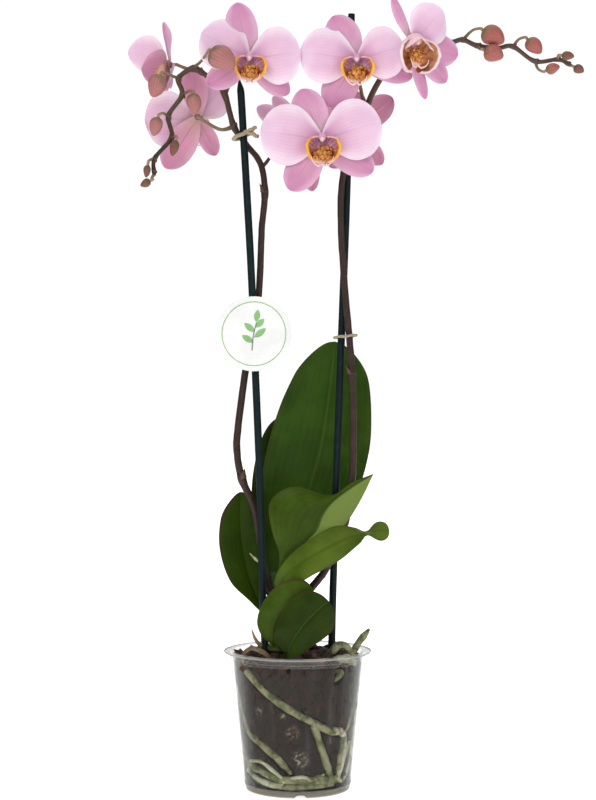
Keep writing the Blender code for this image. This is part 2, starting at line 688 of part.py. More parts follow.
SPIKE_LEFT = [
    (-20.5, -8, 158), (-25.5, -8, 170), (-30, -8, 198), (-35, -8, 227), (-45, -8, 251), (-49, -8, 272),
    (-48.5, -8, 290), (-42, -8, 339), (-35, -8, 375), (-31, -8, 405), (-29, -8, 453), (-26.5, -8, 483),
    (-30, -8, 506), (-41, -8, 521), (-51.5, -8, 536), (-59, -8, 562), (-68, -9, 573), (-78, -10, 580),
    (-84, -12, 583), (-96, -14, 574),
    (-93, -15, 560.5), (-104, -15, 543.5), (-101.5, -15, 526.5), (-115, -15, 509.5), (-115.5, -15, 496.5),
]
SPIKE_RIGHT = [
    (-10.2, -4.4, 149.3), (-4, -8, 153), (6, -9.5, 158.5), (16, -9.5, 169), (24, -9.5, 181), (38, -9.5, 216),
    (44, -9, 250), (45, -9, 299), (44, -9, 336), (42, -9, 363), (38, -9, 408), (35, -9, 455), (36, -9, 492),
    (44, -9, 521), (55, -9, 549), (61, -9, 564), (71, -8, 580), (88, -6, 595), (106, -5, 602),
    (125, -5, 605), (134, -5, 607), (146, -5, 602), (163, -5, 600.5), (174.5, -5, 601.5),
    (192.5, -5, 589.5), (211, -5, 591), (221, -5, 586.5),
]
# Buds: spray, start on the spike, one or two points of the pedicel, base of the bud, its tip, half-width.
BUDS = {
    "left_1": [(-84, -12, 583), (-83.5, -30, 588), (-68, -46, 589.5), (-49.5, -55, 576), 9.6],
    "left_2": [(-96, -14, 574), (-103, -16, 576.5), (-110, -18, 576), (-116.5, -20, 558), 7.6],
    "left_3": [(-93, -15, 560.5), (-88, -17, 563), (-84, -19, 561), (-82, -21, 544), 6.0],
    "left_4": [(-104, -15, 543.5), (-108, -17, 545.5), (-112, -18, 542), (-116, -19, 527), 5.4],
    "left_5": [(-101.5, -15, 526.5), (-98, -17, 527), (-97.5, -18, 523.5), (-101, -18, 511), 3.8],
    "left_6": [(-115, -15, 509.5), (-119, -16, 508), (-120.5, -16, 504), (-122, -16, 494), 3.0],
    "left_7": [(-115.5, -15, 496.5), (-117.5, -15, 493.5), (-118.5, -15, 491.5), (-126.5, -15, 487.5), 3.4],
    "right_1": [(134, -5, 607), (141, -9, 613.5), (149, -14.5, 613), (166, -16, 602.5), 8.2],
    "right_2": [(146, -5, 602), (147, -12, 598), (150, -18, 596), (165, -20, 590), 7.2],
    "right_3": [(174.5, -5, 601.5), (179, -6, 607), (186, -7, 607), (197, -8, 595.5), 6.2],
    "right_4": [(192.5, -5, 589.5), (194.5, -6, 583.5), (201, -7, 581.5), (212, -8, 585), 4.4],
    "right_5": [(211, -5, 591), (210.5, -9, 592.5), (213, -12, 593), (223, -13, 592), 3.6],
    "right_6": [(221, -5, 586.5), (222.5, -5, 585.8), (224.0, -5, 585.0), (232, -5, 581), 3.8],
}
# Bloom pedicels: start on the spike and the points on the way to the back of the flower.
PEDICELS = {
    "a": [(-59, -8, 562), (-53, -9, 574), (-44, -15, 584)],
    "b": [(-51.5, -8, 536), (-62, -6, 534), (-73, -1, 540)],
    "c": [(-78, -10, 580), (-88, -5, 583), (-96, 8, 588)],
    "d": [(36, -9, 492), (30, -12, 508), (22, -18, 519)],
    "e": [(55, -9, 549), (51, -10, 566), (47.5, -14, 582)],
    "f": [(88, -6, 595), (89, -14, 599)],
    "g": [(35, -9, 476), (28, -5, 500), (12, 0, 524)],
    "h": [(44, -9, 521), (49, -4, 528), (47, 8, 535)],
}


def build_spike(side, line, stub=None):
    """A flower spike with the pedicels of its blooms and buds, all one body."""
    share = np.linspace(0, 1, len(line))
    spike = tube(f"spike_{side}", line, 3.2 - 1.6 * share**1.2, SPIKE, 6)
    pieces = []
    for name, start in PEDICELS.items():
        if (name in "abc") == (side == "left"):
            points = [*start, behind(name, 3.5), behind(name, CLEAR)]
            pieces.append(tube(f"pedicel_{name}", points, np.linspace(1.7, 1.4, len(points)), SPIKE, 6))
    for name, (start, middle, base, tip, half) in BUDS.items():
        if name.startswith(side):
            along = unit(vec(*tip) - vec(*base))
            points = [start, middle, vec(*base) - along * 2.4, vec(*base) - along * CLEAR]
            pieces.append(tube(f"pedicel_{name}", points, [1.3] * 4, SPIKE, 4))
    if stub:
        pieces.append(tube("stub", smooth_line(stub, 3), [1.5, 1.2, 1.2], SPIKE, 6))
    return fuse(spike, pieces)


def build_buds():
    """Plump buds with a blunt point."""
    for name, (_, _, base, tip, half) in BUDS.items():
        base, tip = vec(*base), vec(*tip)
        along = unit(tip - base)
        side = unit(np.cross(along, vec(0.3, 1, 0.1)))
        turn = np.column_stack([side, np.cross(along, side), along])
        length = float(np.linalg.norm(tip - base)) / 2
        bud = ball(f"bud_{name}", (base + tip) / 2, (half, half * 0.92, length), BUD, turn, 8, 5)
        for v in bud.data.vertices:
            local = turn.T @ (np.array(v.co) / MM - (base + tip) / 2)
            squeeze = 1.0 - 0.28 * local[2] / length
            local[:2] *= squeeze
            v.co = Vector(turn @ local + (base + tip) / 2) * MM


def build_stakes():
    """Two thin stakes standing in the bark."""
    line = smooth_line(STAKE_LEFT, 8)
    left = tube("stake_left", [*line, (-47, -15, 573)], [STAKE_R] * 8 + [0.8], STAKE, 8)
    right = tube("stake_right", smooth_line(STAKE_RIGHT, 8), [STAKE_R] * 8, STAKE, 8)
    return left, right


def build_tie(name, centre, long_half, short_half, slope, tails):
    """A tie: an oval ring of covered wire with the two twisted ends."""
    bpy.ops.mesh.primitive_torus_add(
        major_segments=14, minor_segments=5, major_radius=1.0, minor_radius=0.1, location=(0, 0, 0)
    )
    torus = bpy.context.active_object
    mesh = torus.data.copy()
    bpy.data.objects.remove(torus, do_unlink=True)
    wire = 1.1
    for v in mesh.vertices:
        x, y, z = v.co
        around = math.hypot(x, y)
        cx, cy = x / around, y / around
        off = (around - 1.0) / 0.1 * wire
        v.co = (
            (centre[0] + (long_half + off) * cx) * MM,
            (centre[1] + (short_half + off) * cy) * MM,
            (centre[2] + slope * cx + z / 0.1 * wire) * MM,
        )
    mesh.shade_smooth()
    ring = link(name, mesh, TIE)
    pieces = [
        tube(f"{name}_tail_{k}", smooth_line(points, 4), [1.15, 1.2, 1.2, 1.0], TIE, 6)
        for k, points in enumerate(tails)
    ]
    return fuse(ring, pieces) if pieces else ring


def build_label():
    """A round label on the left stake, held by a closed clip on its back."""
    disc = tube("label", [(-35, -22.6, 368), (-35, -21.4, 368)], [30.0, 30.0], LABEL, 28)
    clip = tube("clip", [(-35.2, -16.3, 363), (-35.2, -16.3, 373)], [5.2, 5.2], LABEL, 12)
    web = tube("web", [(-35.2, -22.0, 368), (-35.2, -20.2, 368)], [3.6, 3.6], LABEL, 8)
    fuse(disc, [clip, web])
    bore = tube("bore", [(-34.6, -15.3, 352), (-35.8, -15.3, 384)], [STAKE_R + CLEAR + 0.1] * 2, LABEL, 12)
    return cut(disc, [bore])


def build():
    """Make every piece of the plant."""
    build_pot()
    build_roots()
    build_bark()
    build_stem()
    build_leaves()
    build_blooms()
    build_spike("left", SPIKE_LEFT, [(-29, -8, 503), (-25, -8, 507.5), (-21.5, -9, 512.5)])
    build_spike("right", SPIKE_RIGHT)
    build_buds()
    build_stakes()
    build_tie("tie_left", (-44.3, -11.8, 528.5), 7.7, 8.1, 3.2, [
        [(-41, -18.8, 530), (-35, -20.0, 533), (-28.5, -20, 536)],
        [(-41, -18.8, 530), (-35.5, -20.4, 527.5), (-29.5, -20.5, 524.5)]])
    build_tie("tie_right", (38.7, -5.5, 366.5), 9.1, 9.1, 1.0, [])
    build_label()


build()
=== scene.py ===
"""Looks of a potted moth orchid in a clear grower's pot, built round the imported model.

Every CAD node is replaced by a finer piece of the same form with its real finish. Guide lines and
sizes are millimetres and repeat the named values of the part's own source; a mesh is in metres.
The origin is the middle of the pot's underside, +Z is up and the plant's front is -Y.
"""

import logging
import math
from dataclasses import dataclass, field
from enum import Enum
from functools import partial
from typing import Callable, Sequence

import bpy
import numpy as np
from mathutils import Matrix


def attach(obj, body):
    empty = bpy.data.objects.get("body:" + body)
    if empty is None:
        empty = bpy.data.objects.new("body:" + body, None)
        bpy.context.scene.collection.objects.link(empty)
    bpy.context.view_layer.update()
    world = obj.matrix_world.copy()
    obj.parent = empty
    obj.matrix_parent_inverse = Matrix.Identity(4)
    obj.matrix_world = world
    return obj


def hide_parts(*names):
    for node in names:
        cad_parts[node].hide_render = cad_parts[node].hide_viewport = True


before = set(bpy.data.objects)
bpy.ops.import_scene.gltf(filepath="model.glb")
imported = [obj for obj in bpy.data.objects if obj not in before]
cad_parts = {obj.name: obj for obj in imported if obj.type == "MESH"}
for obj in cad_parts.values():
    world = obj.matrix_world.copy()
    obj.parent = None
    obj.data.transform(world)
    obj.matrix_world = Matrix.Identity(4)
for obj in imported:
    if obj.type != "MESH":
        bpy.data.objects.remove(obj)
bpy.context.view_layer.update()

MM = 0.001
BODY = "root"

# Sizes of the pot and its planting, in millimetres
POT_H = 112.0
RIM_R = 60.0
MOUTH_R = 54.0
FOOT_R = 43.0
WALL = 1.0
FLOOR_Z = 4.0
BARK_TOP = 100.0
CLEAR = 0.3
ROOT_R = 3.3
SOAK = 1.2 * MM  # how deep light soaks into petals
GOLDEN_ANGLE = 2.399963  # spreads chips evenly

LOG = logging.getLogger("orchid")

Array = np.ndarray
Shape = Callable[[Array, Array], Array]
Point = tuple[float, ...]
Line = Sequence[Point]
Socket = bpy.types.NodeSocket
Adder = Callable[..., Socket]  # adds a node to one material
Paints = dict[str, Socket]


# ---------------------------------------------------------------- numbers and lines


def vec(*values: float) -> Array:
    """A vector of floats."""
    return np.array(values, float)


def unit(v: Array) -> Array:
    """A vector, or each row of a table of vectors, at length one."""
    return v / np.maximum(np.linalg.norm(v, axis=-1, keepdims=True), 1e-9)


def smooth_line(points: Line | Array, count: int) -> Array:
    """Draw a Catmull-Rom curve.

    Args:
        points: Rows that the curve passes through, of any number of columns.
        count: How many rows to return, evenly spaced in the curve's parameter.

    Returns:
        The rows of the curve.
    """
    p = np.array(points, float)
    p = np.vstack([2 * p[0] - p[1], p, 2 * p[-1] - p[-2]])
    u = np.linspace(0, len(points) - 1, count)
    i = np.minimum(u.astype(int), len(points) - 2)
    f = (u - i)[:, None]
    a, b, c, d = p[i], p[i + 1], p[i + 2], p[i + 3]
    bend, turn = 2 * a - 5 * b + 4 * c - d, 3 * b - a - 3 * c + d
    return 0.5 * (2 * b + (c - a) * f + bend * f**2 + turn * f**3)


def read_at(table: Array, share: Array) -> Array:
    """Rows of a table at shares 0 to 1 of its length, mixed between neighbours.

    Args:
        table: The rows.
        share: Shares 0 to 1 of its length.

    Returns:
        One row for each share.
    """
    u = np.clip(share, 0, 1) * (len(table) - 1)
    i = np.minimum(u.astype(int), len(table) - 2)
    f = (u - i)[:, None]
    return table[i] * (1 - f) + table[i + 1] * f


def ripple(points: Array, spacing: float, seed: int) -> Array:
    """Smooth unevenness from about -1 to 1, with bumps about the spacing apart, at each point.

    Args:
        points: Points, one a row.
        spacing: Distance between bumps.
        seed: Seed of the pattern.

    Returns:
        One height for each point.
    """
    rng = np.random.default_rng(seed)
    ways = unit(rng.normal(size=(7, 3))) * rng.uniform(0.6, 1.5, (7, 1)) * 2 * math.pi / spacing
    return np.sin(points @ ways.T + rng.uniform(0, 2 * math.pi, 7)).mean(axis=1) * 1.8


def frames_along(line: Array) -> tuple[Array, Array, Array]:
    """Directions along a line, and two side directions that turn with it without twisting.

    Args:
        line: Points of the line, one a row.

    Returns:
        Tangents, first and second side directions, one a row.
    """
    tangents = unit(np.gradient(line, axis=0))
    side = unit(np.cross(tangents[0], vec(0.31, 1.0, 0.17)))
    sides = []
    for tangent in tangents:
        side = unit(side - tangent * float(side @ tangent))
        sides.append(side)
    return tangents, np.array(sides), np.cross(tangents, np.array(sides))


# ---------------------------------------------------------------- meshes


def deselect_all() -> None:
    """Leave nothing selected."""
    bpy.ops.object.select_all(action="DESELECT")


def select_only(obj: bpy.types.Object) -> None:
    """Make one object the selected and active one.

    Args:
        obj: The object.
    """
    deselect_all()
    obj.select_set(True)
    bpy.context.view_layer.objects.active = obj


def named(name: str, *finishes: "Finish") -> bpy.types.Object:
    """Name the object that an operator has just added, and give it its finishes.

    Args:
        name: Its name.
        finishes: Its finishes, in the order of its material slots.

    Returns:
        The object.
    """
    obj = bpy.context.active_object
    obj.name = obj.data.name = name
    for finish in finishes:
        obj.data.materials.append(finish.material())
    return obj


def points_of(obj: bpy.types.Object) -> Array:
    """The object's points in millimetres, one a row.

    Args:
        obj: The object.

    Returns:
        The points.
    """
    flat = np.empty(len(obj.data.vertices) * 3)
    obj.data.vertices.foreach_get("co", flat)
    return flat.reshape(-1, 3) / MM


def move_points(obj: bpy.types.Object, points: Array) -> None:
    """Put the object's points at places in millimetres."""
    obj.data.vertices.foreach_set("co", (np.asarray(points) * MM).ravel())
    obj.data.update()


def apply_modifiers(obj: bpy.types.Object) -> None:
    """Apply every modifier of an object.

    Args:
        obj: The object.
    """
    select_only(obj)
    for modifier in list(obj.modifiers):
        bpy.ops.object.modifier_apply(modifier=modifier.name)


def apply_place(obj: bpy.types.Object) -> None:
    """Put an object's place, turn and size into its mesh."""
    select_only(obj)
    bpy.ops.object.transform_apply(location=True, rotation=True, scale=True)


def close_seams(obj: bpy.types.Object, outward: bool = True) -> None:
    """Merge doubled points and, if asked, turn all faces outward.

    Args:
        obj: The object.
        outward: Whether faces are turned outward.
    """
    select_only(obj)
    bpy.ops.object.mode_set(mode="EDIT")
    bpy.ops.mesh.select_all(action="SELECT")
    bpy.ops.mesh.remove_doubles(threshold=0.002 * MM)
    if outward:
        bpy.ops.mesh.normals_make_consistent(inside=False)
    bpy.ops.object.mode_set(mode="OBJECT")


def join(name: str, pieces: Sequence[bpy.types.Object]) -> bpy.types.Object:
    """Join objects into the first of them, and name the result.

    Args:
        name: Name of the result.
        pieces: The objects.

    Returns:
        The joined object.
    """
    deselect_all()
    for piece in pieces:
        piece.select_set(True)
    bpy.context.view_layer.objects.active = pieces[0]
    if len(pieces) > 1:
        bpy.ops.object.join()
    pieces[0].name = pieces[0].data.name = name
    return pieces[0]


def settle(obj: bpy.types.Object, slot: str, *nodes: str, crease: float = 40.0) -> bpy.types.Object:
    """Finish a piece: smooth shading, the nodes that it stands for hidden, and its body.

    Args:
        obj: The finished piece.
        slot: Not used.
        nodes: CAD nodes that the piece replaces.
        crease: Degrees past which an edge stays sharp.

    Returns:
        The same piece.
    """
    select_only(obj)
    bpy.ops.object.shade_smooth_by_angle(angle=math.radians(crease))
    if nodes:
        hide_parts(*nodes)
    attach(obj, BODY)
    return obj


def blade(name: str, shape: Shape, rows: int, cols: int, thick: float, face: "Finish", back: "Finish",
          margin: float = 0.45) -> bpy.types.Object:
    """Model a leaf-like blade: a flat grid laid on a shape, then given a thickness.

    Args:
        name: Name of the piece.
        shape: Gives points in millimetres for arrays of t (0 at the base, 1 at the tip) and s (-1 to 1
            across).
        rows: Faces from base to tip.
        cols: Faces across.
        thick: Thickness at the middle, in millimetres.
        face: Finish of the side that the grid's normals look to.
        back: Finish of the other side.
        margin: Share of the thickness that is left at the margins.

    Returns:
        The closed blade, with a UV map of t and (s + 1) / 2.
    """
    deselect_all()
    bpy.ops.mesh.primitive_grid_add(x_subdivisions=rows, y_subdivisions=cols, size=2.0)
    obj = named(name, face, back)
    flat = points_of(obj) * MM
    t, s = (flat[:, 0] + 1) / 2, flat[:, 1]
    move_points(obj, shape(t, s))
    edge = np.maximum(np.abs(s), np.clip(2.0 * t - 1.0, 0, 1))
    weights = margin + (1 - margin) * (1 - edge**3)
    group = obj.vertex_groups.new(name="thick")
    for index, weight in enumerate(weights):
        group.add([index], float(weight), "REPLACE")
    close_seams(obj, outward=False)
    solid = obj.modifiers.new("Thickness", "SOLIDIFY")
    solid.thickness, solid.offset = thick * MM, 0.0
    solid.vertex_group, solid.material_offset = "thick", 1
    apply_modifiers(obj)
    obj.vertex_groups.clear()
    return obj


def rod(name: str, line: Line | Array, radii: Sequence[float] | Array | float, finish: "Finish",
        around: int = 12, dome: tuple[float, float] = (0.6, 0.6), uneven: float = 0.0,
        flat: float = 1.0, seed: int = 1) -> bpy.types.Object:
    """Model a round stalk: a grid rolled round a line and closed at both ends.

    Args:
        name: Name of the piece.
        line: Centre line in millimetres.
        radii: Radius, or one for each point of the line.
        finish: Its finish.
        around: Faces round it.
        dome: Height of the two end caps as a share of the radius.
        uneven: Share of the radius that the surface swells and shrinks by.
        flat: Thickness across the second side direction, as a share of the radius.
        seed: Seed of the unevenness.

    Returns:
        The closed stalk, with a UV map of the share along it and the share round it.
    """
    centre = np.array(line, float)
    radius = np.broadcast_to(np.array(radii, float), (len(centre),)).copy()
    tangents, sides, ups = frames_along(centre)
    caps = np.radians([90, 66, 40, 18])
    rows, spans = [centre], [radius]
    for end, sign in ((0, -1), (-1, 1)):
        rise = dome[end] * radius[end] * np.sin(caps)
        ring = centre[end] + sign * tangents[end] * rise[:, None]
        if end == 0:
            rows.insert(0, ring)
            spans.insert(0, radius[end] * np.cos(caps))
        else:
            rows.append(ring[::-1])
            spans.append((radius[end] * np.cos(caps))[::-1])
    pad = len(caps)
    index = np.clip(np.arange(-pad, len(centre) + pad), 0, len(centre) - 1)
    centre, radius = np.vstack(rows), np.concatenate(spans)
    sides, ups = sides[index], ups[index]
    deselect_all()
    count = len(centre) - 1
    bpy.ops.mesh.primitive_grid_add(x_subdivisions=count, y_subdivisions=around, size=2.0)
    obj = named(name, finish)
    grid = points_of(obj) * MM
    i = np.rint((grid[:, 0] + 1) / 2 * count).astype(int)
    a = (grid[:, 1] + 1) * math.pi
    out = sides[i] * np.cos(a)[:, None] + ups[i] * (flat * np.sin(a))[:, None]
    swell = 1.0 + uneven * ripple(centre[i] + out * radius[i, None], 9.0, seed) if uneven else 1.0
    move_points(obj, centre[i] + out * (radius[i] * swell)[:, None])
    close_seams(obj)
    return obj


def turned(name: str, profile: Line, sides: int, finish: "Finish") -> bpy.types.Object:
    """Turn a closed wall round the Z axis: a circle is extruded ring by ring and meets itself again.

    Args:
        name: Name of the piece.
        profile: Closed outline of (radius, height) in millimetres, first point repeated at the end.
        sides: Faces round it.
        finish: Its finish.

    Returns:
        The closed body.
    """
    deselect_all()
    (radius, height), *rest = profile
    bpy.ops.mesh.primitive_circle_add(
        vertices=sides, radius=radius * MM, location=(0, 0, height * MM), calc_uvs=False
    )
    obj = named(name, finish)
    apply_place(obj)
    bpy.ops.object.mode_set(mode="EDIT")
    bpy.ops.mesh.select_all(action="SELECT")
    for r, z in rest:
        bpy.ops.mesh.extrude_region_move(TRANSFORM_OT_translate={"value": (0, 0, (z - height) * MM)})
        grow = r / radius
        bpy.ops.transform.resize(value=(grow, grow, 1), center_override=(0, 0, z * MM))
        radius, height = r, z
    bpy.ops.object.mode_set(mode="OBJECT")
    close_seams(obj)
    return obj


# ---------------------------------------------------------------- finishes

SMOOTH = {"interpolation_type": "SMOOTHSTEP"}  # a Map Range that eases in and out and holds at its ends
COLOUR = {"data_type": "RGBA"}  # a Mix of two colours
# How milky the pot's top 12 mm is, from below the steps to the rim.
RIM_HAZE = [(0.28, "#000000"), (0.33, "#6A6A6A"), (0.38, "#202020"), (0.5, "#303030"), (0.56, "#7A7A7A"),
            (0.63, "#3A3A3A"), (0.85, "#505050"), (1.0, "#6E6E6E")]


def linear(colour: str) -> tuple[float, float, float, float]:
    """Turn an sRGB hex colour into linear values.

    Args:
        colour: The colour as "#RRGGBB".

    Returns:
        Linear red, green and blue, and a full alpha.
    """
    parts = (int(colour.lstrip("#")[i : i + 2], 16) / 255 for i in (0, 2, 4))
    red, green, blue = (c / 12.92 if c <= 0.04045 else ((c + 0.055) / 1.055) ** 2.4 for c in parts)
    return red, green, blue, 1.0


def shade(colour: str, share: float) -> str:
    """Darken or lighten a colour.

    Args:
        colour: The colour as "#RRGGBB".
        share: What its channels are multiplied by.

    Returns:
        The new colour as "#RRGGBB".
    """
    parts = (int(colour.lstrip("#")[i : i + 2], 16) * share for i in (0, 2, 4))
    return "#" + "".join(f"{min(255, round(c)):02X}" for c in parts)


def add_node(tree: bpy.types.NodeTree, kind: str, *inputs: object, out: int | str = 0,
             stops: Sequence[tuple[float, str]] = (), **settings: object) -> Socket:
    """Add a shader node with its settings, constants and links.

    Args:
        tree: Node tree of the material.
        kind: Blender's name of the node without "ShaderNode".
        inputs: A constant, hex colour or socket for each of its shown inputs, in their order.
        out: Number or name of the output that is wanted.
        stops: Places and hex colours of a colour ramp.
        settings: Attributes of the node. One with a capital is an input's name, with _ for a space.

    Returns:
        The wanted output.
    """
    made = tree.nodes.new("ShaderNode" + kind)
    for key, value in settings.items():
        if key[0].islower():
            setattr(made, key, value)
    shown = [s for s in made.inputs if s.enabled]
    by_name = {s.name: s for s in reversed(shown)}
    pairs = [*zip(shown, inputs)]
    pairs += [(by_name[key.replace("_", " ")], value) for key, value in settings.items() if key[0].isupper()]
    for target, value in pairs:
        if isinstance(value, Socket):
            tree.links.new(value, target)
        else:
            target.default_value = linear(value) if isinstance(value, str) else value
    if stops:
        while len(made.color_ramp.elements) < len(stops):
            made.color_ramp.elements.new(1.0)
        for element, (place, colour) in zip(made.color_ramp.elements, stops):
            element.position, element.color = place, linear(colour)
    given = [s for s in made.outputs if s.enabled]
    return given[out] if isinstance(out, int) else next(s for s in given if s.name == out)


def layer(add: Adder, under: str | Socket, over: str | Socket, value: Socket, low: float, high: float,
          top: float = 1.0, bottom: float = 0.0) -> Socket:
    """Lay one colour over another as a value rises.

    Args:
        add: Adds a node to the material.
        under: The colour that is there.
        over: The colour that is laid over it.
        value: What decides how much of it shows.
        low: Value up to which the bottom share shows.
        high: Value from which the top share shows.
        top: Largest share.
        bottom: Smallest share.

    Returns:
        The mixed colour.
    """
    return add("Mix", add("MapRange", value, low, high, bottom, top, **SMOOTH), under, over, **COLOUR)


def across(add: Adder) -> tuple[Socket, Socket, Socket]:
    """Read the piece's own UV map.

    Args:
        add: Adds a node to the material.

    Returns:
        The map itself, the share along the blade, and how far out a point is from its middle.
    """
    chart = add("UVMap")
    side = add("Math", add("SeparateXYZ", chart, out="Y"), 2.0, -1.0, operation="MULTIPLY_ADD")
    return chart, add("SeparateXYZ", chart, out="X"), add("Math", side, operation="ABSOLUTE")


def lines(add: Adder, chart: Socket, count: float, wander: float = 1.2, sharp: float = 3.0) -> Socket:
    """Draw fine lines along a blade.

    Args:
        add: Adds a node to the material.
        chart: The blade's UV map.
        count: Lines across its whole width.
        wander: How far they stray from straight.
        sharp: How thin they are.

    Returns:
        Their strength, 0 to 1.
    """
    wave = add("TexWave", chart, count * math.pi / 10, wander, 2.0, 3.0, bands_direction="Y")
    return add("Math", wave, sharp, operation="POWER")


@dataclass(frozen=True)
class Finish:
    """A surface finish: what is the same all over it, and in paint() what its nodes add."""

    name: str
    colour: str = "#808080"
    rough: float = 0.5
    glow: float = 0.0  # share of light that soaks in
    coat: float = 0.0
    sheen: float = 0.0
    mirror: float = 0.5  # specular level

    def material(self) -> bpy.types.Material:
        """Make the finish's material once.

        Returns:
            The material.
        """
        known = bpy.data.materials.get(self.name)
        if known:
            return known
        made = bpy.data.materials.new(self.name)
        made.use_nodes = True
        shader = made.node_tree.nodes["Principled BSDF"]
        for key, value in {
            "Base Color": linear(self.colour), "Roughness": self.rough, "Subsurface Weight": self.glow,
            "Subsurface Scale": SOAK, "Coat Weight": self.coat, "Sheen Weight": self.sheen,
            "Specular IOR Level": self.mirror,
        }.items():
            shader.inputs[key].default_value = value
        for key, socket in self.paint(partial(add_node, made.node_tree)).items():
            made.node_tree.links.new(socket, shader.inputs[key])
        return made

    def paint(self, add: Adder) -> Paints:
        """Paint a faint mottling.

        Args:
            add: Adds a node to the material.

        Returns:
            Sockets for the shader's inputs, by name.
        """
        cloud = add("TexNoise", add("TexCoord", out="Object"), 60.0, 4.0)  # 17 mm
        return {"Base Color": layer(add, self.colour, shade(self.colour, 0.8), cloud, 0.3, 0.7, 0.25)}


@dataclass(frozen=True)
class ClearPolypropylene(Finish):
    """Thin moulded polypropylene: milky, so that it veils what is behind it, more so edge on."""

    veil: float = 0.012
    edge: float = 0.5
    soil: str = "#6C644B"  # what the thick foot gathers from the bark above it

    def paint(self, add: Adder) -> Paints:
        """Paint how far it is seen through, by angle and height, and faint scuffs in the gloss.

        Args:
            add: Adds a node to the material.

        Returns:
            Sockets for the shader's inputs, by name.
        """
        place = add("TexCoord", out="Object")
        height = add("SeparateXYZ", place, out="Z")
        turn = add("LayerWeight", 0.35, out="Facing")
        veil = add("MapRange", turn, 0.2, 0.95, self.veil, self.edge, **SMOOTH)
        steps = add("MapRange", height, (POT_H - 12) * MM, POT_H * MM, **SMOOTH)
        haze = add("ValToRGB", steps, stops=RIM_HAZE)
        foot = add("MapRange", height, 3.4 * MM, 6.5 * MM, 0.72, 0.0, **SMOOTH)
        tall = add("Mapping", place, Scale=(1.0, 1.0, 0.03))
        drawn = add("MapRange", add("TexNoise", tall, 95.0, 2.0), 0.5, 0.72, 0.0, 0.035, **SMOOTH)
        level = add("VectorMath", place, (1.0, 1.0, 0.0), operation="MULTIPLY")
        reach = add("VectorMath", level, operation="LENGTH", out="Value")
        rim = add("MapRange", reach, (RIM_R - 1.1) * MM, (RIM_R - 0.2) * MM, 0.0, 0.4, **SMOOTH)
        for part in (foot, drawn, rim):
            haze = add("Math", haze, part, operation="ADD")
        under = layer(add, self.colour, self.soil, height, 0.4 * MM, 1.6 * MM)
        scuff = add("TexNoise", place, 30.0, 2.0)
        return {
            "Base Color": layer(add, under, self.colour, height, 3.4 * MM, 6.5 * MM),
            "Alpha": add("Math", veil, haze, operation="ADD", use_clamp=True),
            "Roughness": add("MapRange", scuff, 0.3, 0.7, 0.15, 0.2, **SMOOTH),
        }


@dataclass(frozen=True)
class FirBark(Finish):
    """Damp composted fir bark: each chip its own brown, fibrous, with pale mould specks."""

    dark: str = "#22211E"
    warm: str = "#40291F"
    pale: str = "#785A46"
    mould: str = "#B9B09A"

    def paint(self, add: Adder) -> Paints:
        """Paint browns by chip, a grain about 4 mm apart and mould specks about 3 mm apart.

        Args:
            add: Adds a node to the material.

        Returns:
            Sockets for the shader's inputs, by name.
        """
        place = add("TexCoord", out="Object")
        tone, patch = (add("Attribute", attribute_name=name, out="Fac") for name in ("tone", "mould"))
        grain = add("TexNoise", place, 260.0, 5.0, 0.65)
        tint = add("Math", tone, add("MapRange", grain, 0.3, 0.75, -0.1, 0.2, **SMOOTH), operation="ADD")
        chip = add("ValToRGB", tint, stops=[(0.0, self.dark), (0.55, self.warm), (1.0, self.pale)])
        speck = add("MapRange", add("TexNoise", place, 380.0, 4.0, 0.8), 0.48, 0.62, **SMOOTH)
        near = add("MapRange", patch, 0.15, 0.9, 0.0, 0.7, **SMOOTH)
        spots = add("Math", speck, near, operation="MULTIPLY")
        return {"Base Color": add("Mix", spots, chip, self.mould, **COLOUR),
                "Normal": add("Bump", Height=grain, Distance=0.5 * MM, Strength=0.4)}


@dataclass(frozen=True)
class Velamen(Finish):
    """Velamen, the spongy skin of an orchid root: matt, mottled grey-green with brown scars."""

    green: str = "#505A2C"
    pale: str = "#93926E"
    scar: str = "#443322"

    def paint(self, add: Adder) -> Paints:
        """Paint green that shows through the pale skin, scars about 8 mm apart and a dry surface.

        Args:
            add: Adds a node to the material.

        Returns:
            Sockets for the shader's inputs, by name.
        """
        place = add("TexCoord", out="Object")
        fine = add("TexNoise", place, 620.0, 3.0)
        skin = layer(add, self.green, self.pale, add("TexNoise", place, 105.0, 5.0, 0.7), 0.38, 0.6)
        marks = add("TexNoise", place, 130.0, 4.0, Distortion=1.0)
        skin = layer(add, skin, self.scar, marks, 0.55, 0.66, 0.8)
        return {"Base Color": layer(add, skin, shade(self.pale, 0.7), fine, 0.35, 0.7, 0.3),
                "Normal": add("Bump", Height=fine, Distance=0.2 * MM, Strength=0.5)}


